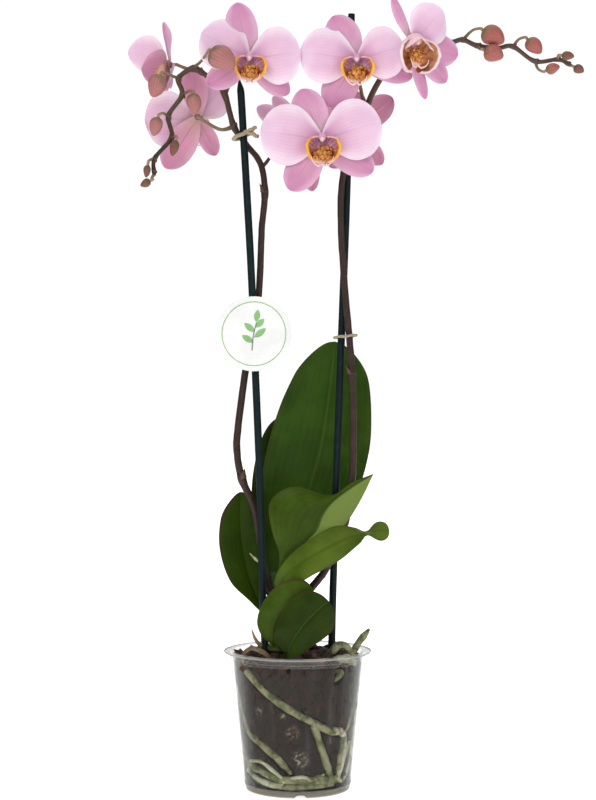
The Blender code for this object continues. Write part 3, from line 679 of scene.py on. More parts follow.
@dataclass(frozen=True)
class LeafSkin(Finish):
    """Waxy leaf skin: satin, with fine lengthwise streaks, a paler midrib and a thin reddish margin."""

    deep: str = "#2C4E18"
    streak: str = "#4E7A30"
    rib: str = "#7B9A55"
    edge: str = "#6E3A2A"
    redness: float = 0.5
    base: str = "#3E5A1E"
    bright: float = 0.0  # how much paler the right half is painted: painted light on the half that faces the lamps

    def paint(self, add: Adder) -> Paints:
        """Paint cloudy green, streaks, midrib, base and margin, painted shade along the midrib, a painted lit
        right half where asked, and gloss that varies with the skin.

        Args:
            add: Adds a node to the material.

        Returns:
            Sockets for the shader's inputs, by name.
        """
        chart, up, side = across(add)
        cloud = add("TexNoise", add("TexCoord", out="Object"), 38.0, 4.0)  # blotches 26 mm apart
        skin = layer(add, self.deep, self.colour, cloud, 0.32, 0.68)
        faint = 0.08 * (1 - 0.7 * self.bright)
        soft = add("Math", lines(add, chart, 15, 3.0, 1.2), faint, operation="MULTIPLY")
        skin = add("Mix", soft, skin, self.streak, **COLOUR)
        skin = layer(add, skin, self.base, up, 0.0, 0.3, 0.0, 0.55)
        skin = layer(add, skin, self.rib, side, 0.0, 0.05, 0.0, 0.5)
        # Painted shade: darker green along the midrib, out to a fifth of the half-width, where the fold's
        # hollow lies in shade.
        skin = layer(add, skin, self.deep, side, 0.04, 0.2, 0.0, 0.35)
        # Painted light: the right half, which faces the lamps, is painted paler.
        if self.bright:
            right = add("SeparateXYZ", chart, out="Y")
            skin = layer(add, skin, self.streak, right, 0.5, 0.56, self.bright)
        reach = add("MapRange", up, 0.6, 0.97, 0.02, 0.2 * self.redness, **SMOOTH)
        outer = add("Math", side, reach, operation="ADD")
        red = add("MapRange", outer, 0.95, 1.0, 0.0, self.redness, **SMOOTH)
        blush = add("Math", red, add("MapRange", cloud, 0.3, 0.6, 0.35, 1.0, **SMOOTH), operation="MULTIPLY")
        return {
            "Base Color": add("Mix", blush, skin, self.edge, **COLOUR),
            "Roughness": add("MapRange", cloud, 0.3, 0.7, self.rough - 0.05, self.rough + 0.07, **SMOOTH),
            "Normal": add("Bump", Height=cloud, Distance=0.2 * MM, Strength=0.6),
        }


@dataclass(frozen=True)
class StalkSkin(Finish):
    """Flower stalk skin: dark brown-purple, satin, with paler lengthwise streaks and tiny lenticels."""

    light: str = "#46342A"
    speck: str = "#7F6A52"
    young: str = "#6A5444"  # the stalk's upper part

    def paint(self, add: Adder) -> Paints:
        """Paint mottling, streaks along the stalk and specks about 2 mm apart.

        Args:
            add: Adds a node to the material.

        Returns:
            Sockets for the shader's inputs, by name.
        """
        chart, _, _ = across(add)
        place = add("TexCoord", out="Object")
        cloud = add("TexNoise", place, 110.0, 4.0)
        skin = layer(add, self.colour, self.light, cloud, 0.4, 0.75, 0.5)
        skin = layer(add, skin, self.young, add("SeparateXYZ", place, out="Z"), 500 * MM, 570 * MM, 0.5)
        skin = layer(add, skin, self.light, lines(add, chart, 9, 4.0, 2.0), 0.0, 1.0, 0.22)
        spots = add("TexVoronoi", place, 480.0)
        return {"Base Color": layer(add, skin, self.speck, spots, 0.08, 0.16, 0.0, 0.45),
                "Normal": add("Bump", Height=cloud, Distance=0.2 * MM, Strength=0.3)}


@dataclass(frozen=True)
class PedicelSkin(Finish):
    """Flower stem skin: dark where it leaves the stalk, olive along it, pink near the flower."""

    start: str = "#4A3528"
    flower: str = "#B98A86"

    def paint(self, add: Adder) -> Paints:
        """Paint colours along the stem by its own UV map.

        Args:
            add: Adds a node to the material.

        Returns:
            Sockets for the shader's inputs, by name.
        """
        _, up, _ = across(add)
        cloud = add("TexNoise", add("TexCoord", out="Object"), 200.0, 3.0)  # 5 mm
        skin = add("ValToRGB", up, stops=[(0.05, self.start), (0.4, self.colour), (0.95, self.flower)])
        return {"Base Color": layer(add, skin, shade(self.colour, 0.7), cloud, 0.4, 0.7, 0.35),
                "Normal": add("Bump", Height=cloud, Distance=0.1 * MM, Strength=0.3)}


@dataclass(frozen=True)
class TepalSkin(Finish):
    """Petal skin: velvety cells with a soft sheen, light that soaks in, and veins that fan and fork."""

    heart: str = "#E9BFDD"
    margin: str = "#F8E4F6"
    vein: str = "#D48FC2"
    tip: str = "#F3D6EE"
    veins: int = 15
    strength: float = 0.13
    rib: float = 0.3

    def paint(self, add: Adder) -> Paints:
        """Paint heart, middle, tip and margin, veins 2 to 3 mm apart that fork, and the middle vein.

        Args:
            add: Adds a node to the material.

        Returns:
            Sockets for the shader's inputs, by name.
        """
        chart, up, side = across(add)
        cloud = add("TexNoise", add("TexCoord", out="Object"), 70.0, 3.0)  # 14 mm
        skin = add("ValToRGB", up, stops=[(0.02, self.heart), (0.34, self.colour), (0.97, self.tip)])
        skin = layer(add, skin, self.margin, side, 0.45, 1.0, 0.8)
        skin = layer(add, skin, self.vein, cloud, 0.3, 0.7, 0.16)
        main, forks = lines(add, chart, self.veins, 1.6, 5.0), lines(add, chart, 2 * self.veins, 2.2, 4.0)
        outer = add("MapRange", up, 0.35, 0.6, 0.0, 0.55, **SMOOTH)
        forks = add("Math", forks, outer, operation="MULTIPLY")
        drawn = add("Math", main, forks, operation="MAXIMUM")
        strong = add("MapRange", side, 0.6, 1.0, self.strength, 0.1, **SMOOTH)
        skin = add("Mix", add("Math", drawn, strong, operation="MULTIPLY"), skin, self.vein, **COLOUR)
        rib = add("MapRange", side, 0.0, 0.07, self.rib, 0.0, **SMOOTH)
        rib = add("Math", rib, add("MapRange", up, 0.1, 0.85, 1.0, 0.0, **SMOOTH), operation="MULTIPLY")
        return {"Base Color": add("Mix", rib, skin, self.vein, **COLOUR),
                "Normal": add("Bump", Height=drawn, Distance=0.12 * MM, Strength=0.25)}


@dataclass(frozen=True)
class LipSkin(Finish):
    """Lip lobe skin: pink-lilac above, orange below, striped magenta-brown, with a golden rim."""

    low: str = "#C4702C"
    stripe: str = "#94455C"
    rim: str = "#EFA63A"
    stripes: int = 9

    def paint(self, add: Adder) -> Paints:
        """Paint colour up the lobe (the UV map's second share), its rim, and stripes from its base.

        Args:
            add: Adds a node to the material.

        Returns:
            Sockets for the shader's inputs, by name.
        """
        chart = add("UVMap")
        reach, rise = (add("SeparateXYZ", chart, out=axis) for axis in "XY")
        skin = layer(add, self.low, self.colour, rise, 0.25, 0.8)
        far = add("MapRange", reach, 0.4, 0.85, **SMOOTH)
        gold = add("Math", far, add("MapRange", rise, 0.95, 0.6, **SMOOTH), operation="MULTIPLY")
        skin = add("Mix", gold, skin, self.rim, **COLOUR)
        stripes = lines(add, chart, self.stripes, 3.0, 2.5)
        near = add("MapRange", reach, 0.4, 0.9, 0.65, 0.0, **SMOOTH)
        share = add("Math", stripes, near, operation="MULTIPLY")
        return {"Base Color": add("Mix", share, skin, self.stripe, **COLOUR),
                "Normal": add("Bump", Height=stripes, Distance=0.15 * MM, Strength=0.3)}


@dataclass(frozen=True)
class RimSkin(Finish):
    """Rolled edge of a lip lobe: pink-brown at its foot, golden along the side, pale pink at the top."""

    foot: str = "#C98F7E"
    bright: str = "#F0B444"
    top: str = "#E9BDD2"

    def paint(self, add: Adder) -> Paints:
        """Paint colours along the edge, mottled so that they run into each other.

        Args:
            add: Adds a node to the material.

        Returns:
            Sockets for the shader's inputs, by name.
        """
        _, up, _ = across(add)
        cloud = add("TexNoise", add("TexCoord", out="Object"), 260.0, 3.0)  # 4 mm
        place = add("Math", up, add("MapRange", cloud, 0.3, 0.7, -0.09, 0.09, **SMOOTH), operation="ADD")
        stops = [(0.06, self.foot), (0.24, self.colour), (0.5, self.bright), (0.66, self.colour),
                 (0.8, self.top)]
        return {"Base Color": add("ValToRGB", place, stops=stops)}


@dataclass(frozen=True)
class CallusSkin(Finish):
    """Callus of the lip: glossy and lumpy, golden orange with red-brown spots."""

    spot: str = "#8A3A1C"
    light: str = "#E9B056"

    def paint(self, add: Adder) -> Paints:
        """Paint spots about a millimetre across.

        Args:
            add: Adds a node to the material.

        Returns:
            Sockets for the shader's inputs, by name.
        """
        place = add("TexCoord", out="Object")
        cloud = add("TexNoise", place, 420.0, 3.0)
        skin = layer(add, self.colour, self.light, cloud, 0.48, 0.7)
        spots = add("TexVoronoi", place, 560.0)
        return {"Base Color": layer(add, skin, self.spot, spots, 0.25, 0.5, 0.0, 0.9),
                "Normal": add("Bump", Height=cloud, Distance=0.4 * MM, Strength=0.5)}


@dataclass(frozen=True)
class BudSkin(Finish):
    """Bud skin: satin sepals shut tight, rose-brown with darker lengthwise veins and a green base."""

    vein: str = "#8A4F4A"
    base: str = "#7F8450"
    veins: int = 22

    def paint(self, add: Adder) -> Paints:
        """Paint base to tip colours and veins round the bud.

        Args:
            add: Adds a node to the material.

        Returns:
            Sockets for the shader's inputs, by name.
        """
        chart = add("UVMap")
        cloud = add("TexNoise", add("TexCoord", out="Object"), 160.0, 3.0)  # 6 mm
        uneven = add("MapRange", cloud, 0.3, 0.7, -0.12, 0.12, **SMOOTH)
        up = add("Math", add("SeparateXYZ", chart, out="Y"), uneven, operation="ADD")
        skin = layer(add, self.base, self.colour, up, 0.12, 0.5)
        wave = add("TexWave", chart, self.veins * math.pi / 10, 1.4, 2.0, bands_direction="X")
        drawn = add("Math", wave, 3.0, operation="POWER")
        share = add("Math", drawn, 0.4, operation="MULTIPLY")
        return {"Base Color": add("Mix", share, skin, self.vein, **COLOUR),
                "Normal": add("Bump", Height=drawn, Distance=0.15 * MM, Strength=0.25)}


@dataclass(frozen=True)
class CoatedSteel(Finish):
    """Plastic-coated steel stake: dark blue-green, semi-gloss, faintly ribbed by the dipping."""

    light: str = "#1C3434"

    def paint(self, add: Adder) -> Paints:
        """Paint faint streaks along the stake and wear in the gloss.

        Args:
            add: Adds a node to the material.

        Returns:
            Sockets for the shader's inputs, by name.
        """
        chart, _, _ = across(add)
        cloud = add("TexNoise", add("TexCoord", out="Object"), 150.0, 4.0)  # 7 mm
        skin = layer(add, self.colour, self.light, lines(add, chart, 5, 2.5, 2.0), 0.0, 1.0, 0.3)
        return {
            "Base Color": layer(add, skin, self.light, cloud, 0.5, 0.8, 0.4),
            "Roughness": add("MapRange", cloud, 0.3, 0.7, self.rough - 0.06, self.rough + 0.1, **SMOOTH),
            "Normal": add("Bump", Height=cloud, Distance=0.1 * MM, Strength=0.2),
        }


# The finishes of the plant. Comments say what each gives the eye.
POT_PLASTIC = ClearPolypropylene("clear_polypropylene", "#B4B5B1", 0.3)  # a milky veil over the bark
CHIP_BARK = FirBark("composted_fir_bark", rough=0.9)  # dark, damp, broken chips
ROOT_SKIN = Velamen("root_velamen", rough=0.75)  # chalky mottled green
PALE_ROOT = Velamen("dry_root_velamen", rough=0.8, green="#8C9268", pale="#C9C9AE", scar="#735C40")
DRIED_ROOT = Velamen("dead_root_velamen", rough=0.85, green="#6A5838", pale="#8C7C60", scar="#42301E")
DRY_SHEATH = Finish("dried_leaf_sheath", "#A58A62", 0.8)  # papery tan remains
BRACT = Finish("stalk_bract", "#5E4034", 0.6)  # small brown scales at the joints
STEM_SKIN = LeafSkin("leafy_stem_skin", "#4E6A2C", 0.5)
STALK = StalkSkin("flower_stalk_skin", "#33211C", 0.45, mirror=0.3)  # almost black from a distance
JOINT = Finish("stalk_joint", "#5E4540", 0.5)  # pale line at each joint
CUT_END = Finish("cut_stalk_end", "#B79F74", 0.8)
PEDICEL = PedicelSkin("flower_stem_skin", "#857049", 0.45, glow=0.05)
COLUMN_SKIN = Finish("column_skin", "#D9A2BE", 0.4, glow=0.25, coat=0.1)  # waxy, pink
PEACH_COLUMN = Finish("half_open_column_skin", "#DFAFA8", 0.45, glow=0.25)  # peach
ANTHER_SKIN = Finish("anther_cap", "#EACBD6", 0.4, glow=0.2, coat=0.1)  # paler
LIP_FACE = LipSkin("lip_lobe_inside", "#BE86AC", 0.35, glow=0.12, coat=0.2)
LIP_BACK = Finish("lip_lobe_outside", "#EDB9A2", 0.4, glow=0.15)
LIP_FRONT = LipSkin("lip_front_lobe", "#C9702C", 0.35, glow=0.12, coat=0.2, low="#D98A50", stripe="#7A2E22",
                    rim="#F0C8B8", stripes=5)  # orange, with brown stripes
LIP_RIM = RimSkin("lip_rim", "#E9A030", 0.34, glow=0.15, coat=0.15)  # thick golden edge
PALE_RIM = RimSkin("half_open_lip_rim", "#EBC8CF", 0.4, glow=0.2, foot="#D9A49C", bright="#F3DDE4",
                   top="#EFC9D2")  # peach-white
DEEP_FACE = LipSkin("half_open_lip_inside", "#C98A5A", 0.35, glow=0.1, coat=0.1, low="#A85A20",
                    stripe="#7E3A20", rim="#D9A26A", stripes=6)  # brown-orange
AWNING = Finish("half_open_lip_top", "#EBC9CF", 0.5, glow=0.25)  # peach-white
PALE_BACK = Finish("half_open_lip_outside", "#E6C3D6", 0.45, glow=0.2)  # almost white
CALLUS = CallusSkin("lip_callus", "#C67E30", 0.35, coat=0.15)
TENDRIL = Finish("lip_tendril", "#F6D2D2", 0.4, glow=0.2)
BUD_SKIN = BudSkin("bud_skin", "#A95F56", 0.45, glow=0.08, mirror=0.35, base="#7A6A46")
YOUNG_BUD = BudSkin("young_bud_skin", "#7E5142", 0.5, mirror=0.35, base="#5E5A36", vein="#5A322C")
GREEN_BUD = BudSkin("left_bud_skin", "#AE7270", 0.45, mirror=0.35, base="#6E6A3E", vein="#7A4A44", glow=0.05)
STAKE_COAT = CoatedSteel("coated_steel_stake", "#0D1B1D", 0.42, mirror=0.16)
TIE_PAPER = Finish("paper_covered_wire", "#A8977A", 0.7)  # matt, pulpy
TIE_END = Finish("wire_cut_end", "#4A3A2A", 0.5)
CARD = Finish("white_polystyrene_card", "#F8F8F6", 0.5)  # smooth and bright
PRINT_GREEN = Finish("green_print", "#8CC07A", 0.5)
PRINT_GREY = Finish("grey_print", "#6E756E", 0.5)


# ---------------------------------------------------------------- studio


@dataclass
class Studio:
    """White floor and room, soft lights, and the camera level with the middle of the plant."""

    camera_place: Point = (0.3, -1446.0, 315.0)
    lens: float = 80.0
    floor_radius: float = 9000.0

    def build(self) -> None:
        """Make the floor, the room's light, the lamps and the camera."""
        deselect_all()
        bpy.ops.mesh.primitive_circle_add(vertices=96, radius=self.floor_radius * MM, fill_type="NGON")
        floor = named("studio_floor")
        finish = bpy.data.materials.new("white_studio_floor")
        finish.use_nodes = True
        shader = finish.node_tree.nodes["Principled BSDF"]
        shader.inputs["Base Color"].default_value = linear("#F7F7F7")
        shader.inputs["Roughness"].default_value = 0.9
        shader.inputs["Emission Color"].default_value = linear("#FFFFFF")
        add = partial(add_node, finish.node_tree)
        reach = add("VectorMath", add("TexCoord", out="Object"), operation="LENGTH", out="Value")
        white = add("MapRange", reach, 0.04, 0.10, 0.75, 1.05, **SMOOTH)
        glow = add("MapRange", add("LightPath", out="Is Camera Ray"), To_Min=0.65, To_Max=white)
        finish.node_tree.links.new(glow, shader.inputs["Emission Strength"])
        floor.data.materials.append(finish)
        self.room()
        for name, place, aim, size, power in (
            ("key", (-700, -1300, 1500), (0, 0, 380), 1100, 11.0),
            ("fill", (1300, -1100, 800), (0, 0, 330), 1200, 4.0),
            ("top", (150, 250, 1900), (0, 0, 300), 1400, 8.0),
            ("back", (300, 1500, 900), (0, 0, 350), 1200, 4.0),
        ):
            self.lamp(name, place, aim, size, power)
        bpy.ops.object.camera_add(location=[c * MM for c in self.camera_place], rotation=(math.pi / 2, 0, 0))
        camera = bpy.context.active_object
        camera.name = "studio_camera"
        camera.data.lens, camera.data.sensor_width = self.lens, 36.0
        camera.data.clip_start, camera.data.clip_end = 0.05, 60.0
        bpy.context.scene.camera = camera
        bpy.context.scene.view_settings.view_transform = "Standard"

    def room(self) -> None:
        """A white room: full white to the camera, softer as light and dim in reflections."""
        world = bpy.data.worlds.new("white_room")
        bpy.context.scene.world = world
        world.use_nodes = True
        background = world.node_tree.nodes["Background"]
        background.inputs["Color"].default_value = (1, 1, 1, 1)
        add = partial(add_node, world.node_tree)
        light = add("MapRange", add("LightPath", out="Is Glossy Ray"), To_Min=0.4, To_Max=0.08)
        strength = add("MapRange", add("LightPath", out="Is Camera Ray"), To_Min=light, To_Max=1.05)
        world.node_tree.links.new(strength, background.inputs["Strength"])

    def lamp(self, name: str, place: Point, aim: Point, size: float, power: float) -> None:
        """A large square lamp that looks at a point.

        Args:
            name: What the lamp is for.
            place: Where it hangs, in millimetres.
            aim: What it looks at.
            size: Its side, in millimetres.
            power: Its power, in watts.
        """
        way = unit(vec(*aim) - vec(*place))
        turn = (math.acos(-way[2]), 0.0, math.atan2(way[1], way[0]) - math.pi / 2)
        bpy.ops.object.light_add(type="AREA", location=[c * MM for c in place], rotation=turn)
        light = bpy.context.active_object
        light.name = f"{name}_light"
        light.data.energy, light.data.size = power, size * MM


# ---------------------------------------------------------------- pot and planting


def pot_radius(z: Array | float) -> Array | float:
    """Outside radius of the pot's wall at height z."""
    return FOOT_R + (MOUTH_R - FOOT_R) * np.clip(np.asarray(z) / POT_H, 0, 1)


def fill_radius(z: Array | float) -> Array | float:
    """Radius of the bark at height z, clear of the wall."""
    return pot_radius(z) - WALL - CLEAR


def wall_line(points: Line, depth: float) -> list[Point]:
    """Points (angle in degrees from the front, height) put at a depth inside the bark's side.

    Args:
        points: The angles and heights.
        depth: How far inside the bark's side, in millimetres.

    Returns:
        The points (x, y, z).
    """
    out = []
    for angle, z in points:
        r, a = float(fill_radius(z)) - depth, math.radians(angle)
        out.append((r * math.sin(a), -r * math.cos(a), z))
    return out


@dataclass
class Pot:
    """Thin clear grower's pot with a flat rim, steps under it, a foot ring with notches and drain holes."""

    sides: int = 180
    notch_half: float = 4.6
    notch_height: float = 3.0

    def profile(self) -> list[Point]:
        """The wall's closed outline, from the mouth out over the rim, down, and back up inside.

        Returns:
            Points (radius, height), the first one repeated at the end.
        """
        outside = [
            (MOUTH_R - WALL, POT_H - 0.5), (MOUTH_R - 0.6, POT_H - 0.1), (MOUTH_R + 0.2, POT_H),
            (RIM_R - 0.8, POT_H), (RIM_R - 0.15, POT_H - 0.25), (RIM_R, POT_H - 0.8),
            (RIM_R - 0.25, POT_H - 1.35), (RIM_R - 0.9, POT_H - 1.5), (MOUTH_R + 2.3, POT_H - 1.7),
            (MOUTH_R + 1.9, POT_H - 2.1), (MOUTH_R + 1.85, POT_H - 3.6), (MOUTH_R + 1.5, POT_H - 4.0),
            (MOUTH_R + 1.0, POT_H - 4.1), (MOUTH_R + 0.85, POT_H - 5.4), (MOUTH_R + 0.6, POT_H - 5.8),
            (MOUTH_R + 0.1, POT_H - 6.0), (MOUTH_R - 0.05, POT_H - 7.6),
        ]
        wall = [(float(pot_radius(z)), z) for z in np.linspace(POT_H - 8.2, 7.0, 14)]
        foot = [
            (float(pot_radius(6)), 6.0), (FOOT_R + 0.1, 4.6), (FOOT_R - 0.3, 2.4), (FOOT_R - 0.9, 0.35),
            (FOOT_R - 1.4, 0.0), (FOOT_R - 3.6, 0.0), (FOOT_R - 4.2, 0.5), (FOOT_R - 5.5, FLOOR_Z - 1.2),
            (24.0, FLOOR_Z - 1.2), (22.8, FLOOR_Z - 2.0), (22.0, 0.0), (8.0, 0.0), (0.01, 0.0),
        ]
        inside = [
            (0.01, 1.2), (21.4, 1.2), (22.4, FLOOR_Z - 0.5), (23.4, FLOOR_Z),
            (float(pot_radius(6)) - WALL - 1.5, FLOOR_Z), (float(pot_radius(7)) - WALL - 0.4, FLOOR_Z + 0.8),
            (float(pot_radius(8)) - WALL, FLOOR_Z + 2.5), (MOUTH_R - WALL, POT_H - 0.5),
        ]
        return outside + wall + foot + inside

    def build(self) -> None:
        """Turn the wall, raise the foot at its notches and cut the drain holes."""
        pot = turned("pot_shell", self.profile(), self.sides, POT_PLASTIC)
        place = points_of(pot)
        around = np.degrees(np.arctan2(place[:, 1], place[:, 0]))
        reach = np.hypot(place[:, 0], place[:, 1])
        for k in range(4):
            off = (around - (-87 + 90 * k) + 180) % 360 - 180
            arch = 1 - (np.radians(off) * FOOT_R / self.notch_half) ** 2
            lift = self.notch_height * np.sqrt(np.clip(arch, 0, 1))
            low = (reach > FOOT_R - 4.4) & (place[:, 2] < lift) & (reach < FOOT_R + 1)
            place[low, 2] = np.minimum(lift[low], 2.4 + 0.25 * place[low, 2])
        move_points(pot, place)
        cutters = []
        for k in range(6):
            a = math.radians(30 + 60 * k)
            bpy.ops.mesh.primitive_cylinder_add(
                vertices=28, radius=3.5 * MM, depth=6 * MM,
                location=(30.5 * MM * math.cos(a), 30.5 * MM * math.sin(a), FLOOR_Z * MM),
            )
            cutters.append(bpy.context.active_object)
        drill = join("drain_drill", cutters)
        apply_place(drill)
        hole = pot.modifiers.new("Drain", "BOOLEAN")
        hole.object, hole.operation, hole.solver = drill, "DIFFERENCE", "EXACT"
        apply_modifiers(pot)
        bpy.data.objects.remove(drill, do_unlink=True)
        settle(pot, "clear_plastic", "pot", crease=35)
        LOG.info("pot: %d faces", len(pot.data.polygons))


ROOTS: dict[str, tuple[Line, Line]] = {
    "long": ([(-12, -4, 94), (-20, -25.5, 97)],
             [(-56, 100), (-43, 91), (-27, 81), (-14, 74), (-1, 68), (12, 62), (24, 57), (36, 52), (47, 51)]),
    "branch": ([], [(17, 57), (24, 43), (31, 30), (39, 17), (45, 9)]),
    "left": ([(-13, 0, 92), (-32, -7, 86)],
             [(-76, 78), (-71, 62), (-59, 48), (-40, 41), (-22, 31), (-8, 20)]),
    "low": ([(-14, 2, 86), (-27, -3, 45)], [(-62, 25), (-40, 18), (-20, 14.5), (4, 14), (32, 13), (62, 10)]),
    "right": ([(-8, 0, 88), (20, -8, 84)], [(74, 74), (66, 58), (57, 46), (52, 28), (55, 12)]),
    "tip": ([(-8, -2, 94), (16, -22, 95)], [(44, 99), (39, 93)]),
}
# Finer roots that only show through the wall: angle and height along it, then radius.
ROOTLETS: list[tuple[Line, float]] = [
    ([(-72, 17), (-50, 12), (-28, 9.5), (-4, 9)], 2.5),
    ([(-34, 10), (-8, 8.5), (18, 9), (44, 8.5)], 2.3),
    ([(-16, 13), (4, 17), (16, 14), (30, 18)], 1.8),
    ([(70, 40), (58, 26), (52, 14), (60, 9)], 2.3),
    ([(-88, 44), (-76, 30), (-64, 18), (-50, 9)], 2.0),
    ([(88, 60), (80, 40), (76, 24), (66, 10)], 2.4),
    ([(-60, 26), (-42, 27), (-27, 21), (-12, 12)], 1.6),
    ([(8, 12), (24, 16), (40, 13), (56, 17)], 2.0),
    ([(40, 53), (46, 51), (53, 52)], 3.2),
    ([(50, 50), (58, 46), (60, 36), (56, 24)], 2.4),
]
ARCH: Line = [(-8, -4, 95), (14, -24, 103), (27, -28, 114), (33, -28.5, 119.5), (39, -26.5, 118),
              (42.5, -22, 109), (38, -17, 98)]
RISING: Line = [(-8, -2, 93), (22, -14, 97), (36, -17, 104), (43.5, -18, 111), (49.5, -18.5, 121),
                (57, -19, 130.5)]
DRIED: Line = [(-14, -6, 96), (-19, -25, 105), (-27, -31.5, 114), (-37, -32, 117.5), (-43, -25, 111),
               (-42, -19, 99)]


@dataclass
class Roots:
    """Fleshy roots: those against the clear wall, those that arch over the bark, and a dried one."""

    around: int = 16
    uneven: float = 0.09

    def swelling(self, count: int, seed: int) -> Array:
        """Slow changes of a root's thickness along it.

        Args:
            count: How many points the root has.
            seed: Seed of its swellings.

        Returns:
            What its radius is multiplied by at each point.
        """
        steps = np.linspace(0, 1, count)
        rng = np.random.default_rng(seed)
        slow = 0.08 * np.sin(9 * steps + rng.uniform(0, 6))
        return 1.0 + slow + 0.05 * np.sin(23 * steps + rng.uniform(0, 6))

    def root(self, name: str, line: Line, radius: float, seed: int, finish: Finish,
             tip: float = 0.5) -> bpy.types.Object:
        """One root along its guide points, tapering at its end.

        Args:
            name: Its name.
            line: Its guide points.
            radius: Its radius.
            seed: Seed of its unevenness.
            finish: Its skin.
            tip: Share of the radius left at its tip.

        Returns:
            The root.
        """
        path = smooth_line(line, 14 * len(line))
        radii = radius * self.swelling(len(path), seed)
        radii[-10:] *= np.linspace(1, tip, 10)
        return rod(name, path, radii, finish, self.around, (0.6, 0.9), self.uneven, seed=seed)

    def build(self) -> None:
        """Model every root and join them at the crown under the stem."""
        deselect_all()
        bpy.ops.mesh.primitive_uv_sphere_add(
            segments=24, ring_count=16, radius=9 * MM, location=(-12 * MM, 0, 93 * MM)
        )
        crown = named("crown", ROOT_SKIN)
        apply_place(crown)
        pieces = [crown]
        for seed, (name, (inside, wall)) in enumerate(ROOTS.items()):
            radius = ROOT_R * (0.85 if name in ("right", "tip") else 1.0)
            line = [*inside, *wall_line(wall, radius + 0.3)]
            pieces.append(self.root(name, line, radius, seed, ROOT_SKIN))
        for seed, (wall, radius) in enumerate(ROOTLETS, 20):
            finish = PALE_ROOT if seed % 3 else ROOT_SKIN
            pieces.append(self.root(f"rootlet_{seed}", wall_line(wall, radius + 0.2), radius, seed, finish))
        pieces.append(self.root("arch", ARCH, 3.1, 40, ROOT_SKIN, 0.7))
        pieces.append(self.root("rising", RISING, 2.7, 41, ROOT_SKIN, 0.45))
        pieces.append(self.root("dried", DRIED, 1.9, 42, DRIED_ROOT, 0.6))
        fat = [(16, -25, 103), (28, -30, 107), (36, -31, 109), (42, -26, 108), (45, -19, 103)]
        pieces.append(self.root("fat", fat, 3.4, 43, PALE_ROOT, 0.7))
        thin = [(22, -33, 103), (27, -35, 108), (33, -34.5, 109.5), (38, -31, 106)]
        pieces.append(self.root("thin", thin, 0.9, 44, PALE_ROOT, 0.6))
        settle(join("root_tangle", pieces), "root", "roots")
        LOG.info("roots: %d", len(pieces))


# Patches of pale mould on the bark at the wall: x, y, z and radius.
MOULD = ((-4.4, -47, 52, 6), (2, -46, 31, 8), (-31, -37, 68, 4), (28, -38, 46, 4), (-12, -47, 66, 3),
         (40, 20, 60, 7), (-20, 42, 40, 8))


@dataclass
class Seat:
    """Where a bark chip lies, which ways its seat runs, how it tilts and how pale it is."""

    place: Array
    base: Array
    top: Array
    normal: Array
    tilt: Array
    tone: float

    def axes(self, spin: float) -> Array:
        """Turn the chip on its seat.

        Args:
            spin: The turn about the seat's normal, in radians.

        Returns:
            The chip's three axes, one a row.
        """
        u = unit(self.base * math.cos(spin) + self.top * math.sin(spin) + self.normal * self.tilt[0])
        v = unit(np.cross(self.normal + self.base * self.tilt[1], u))
        return np.vstack([u, v, np.cross(u, v)])


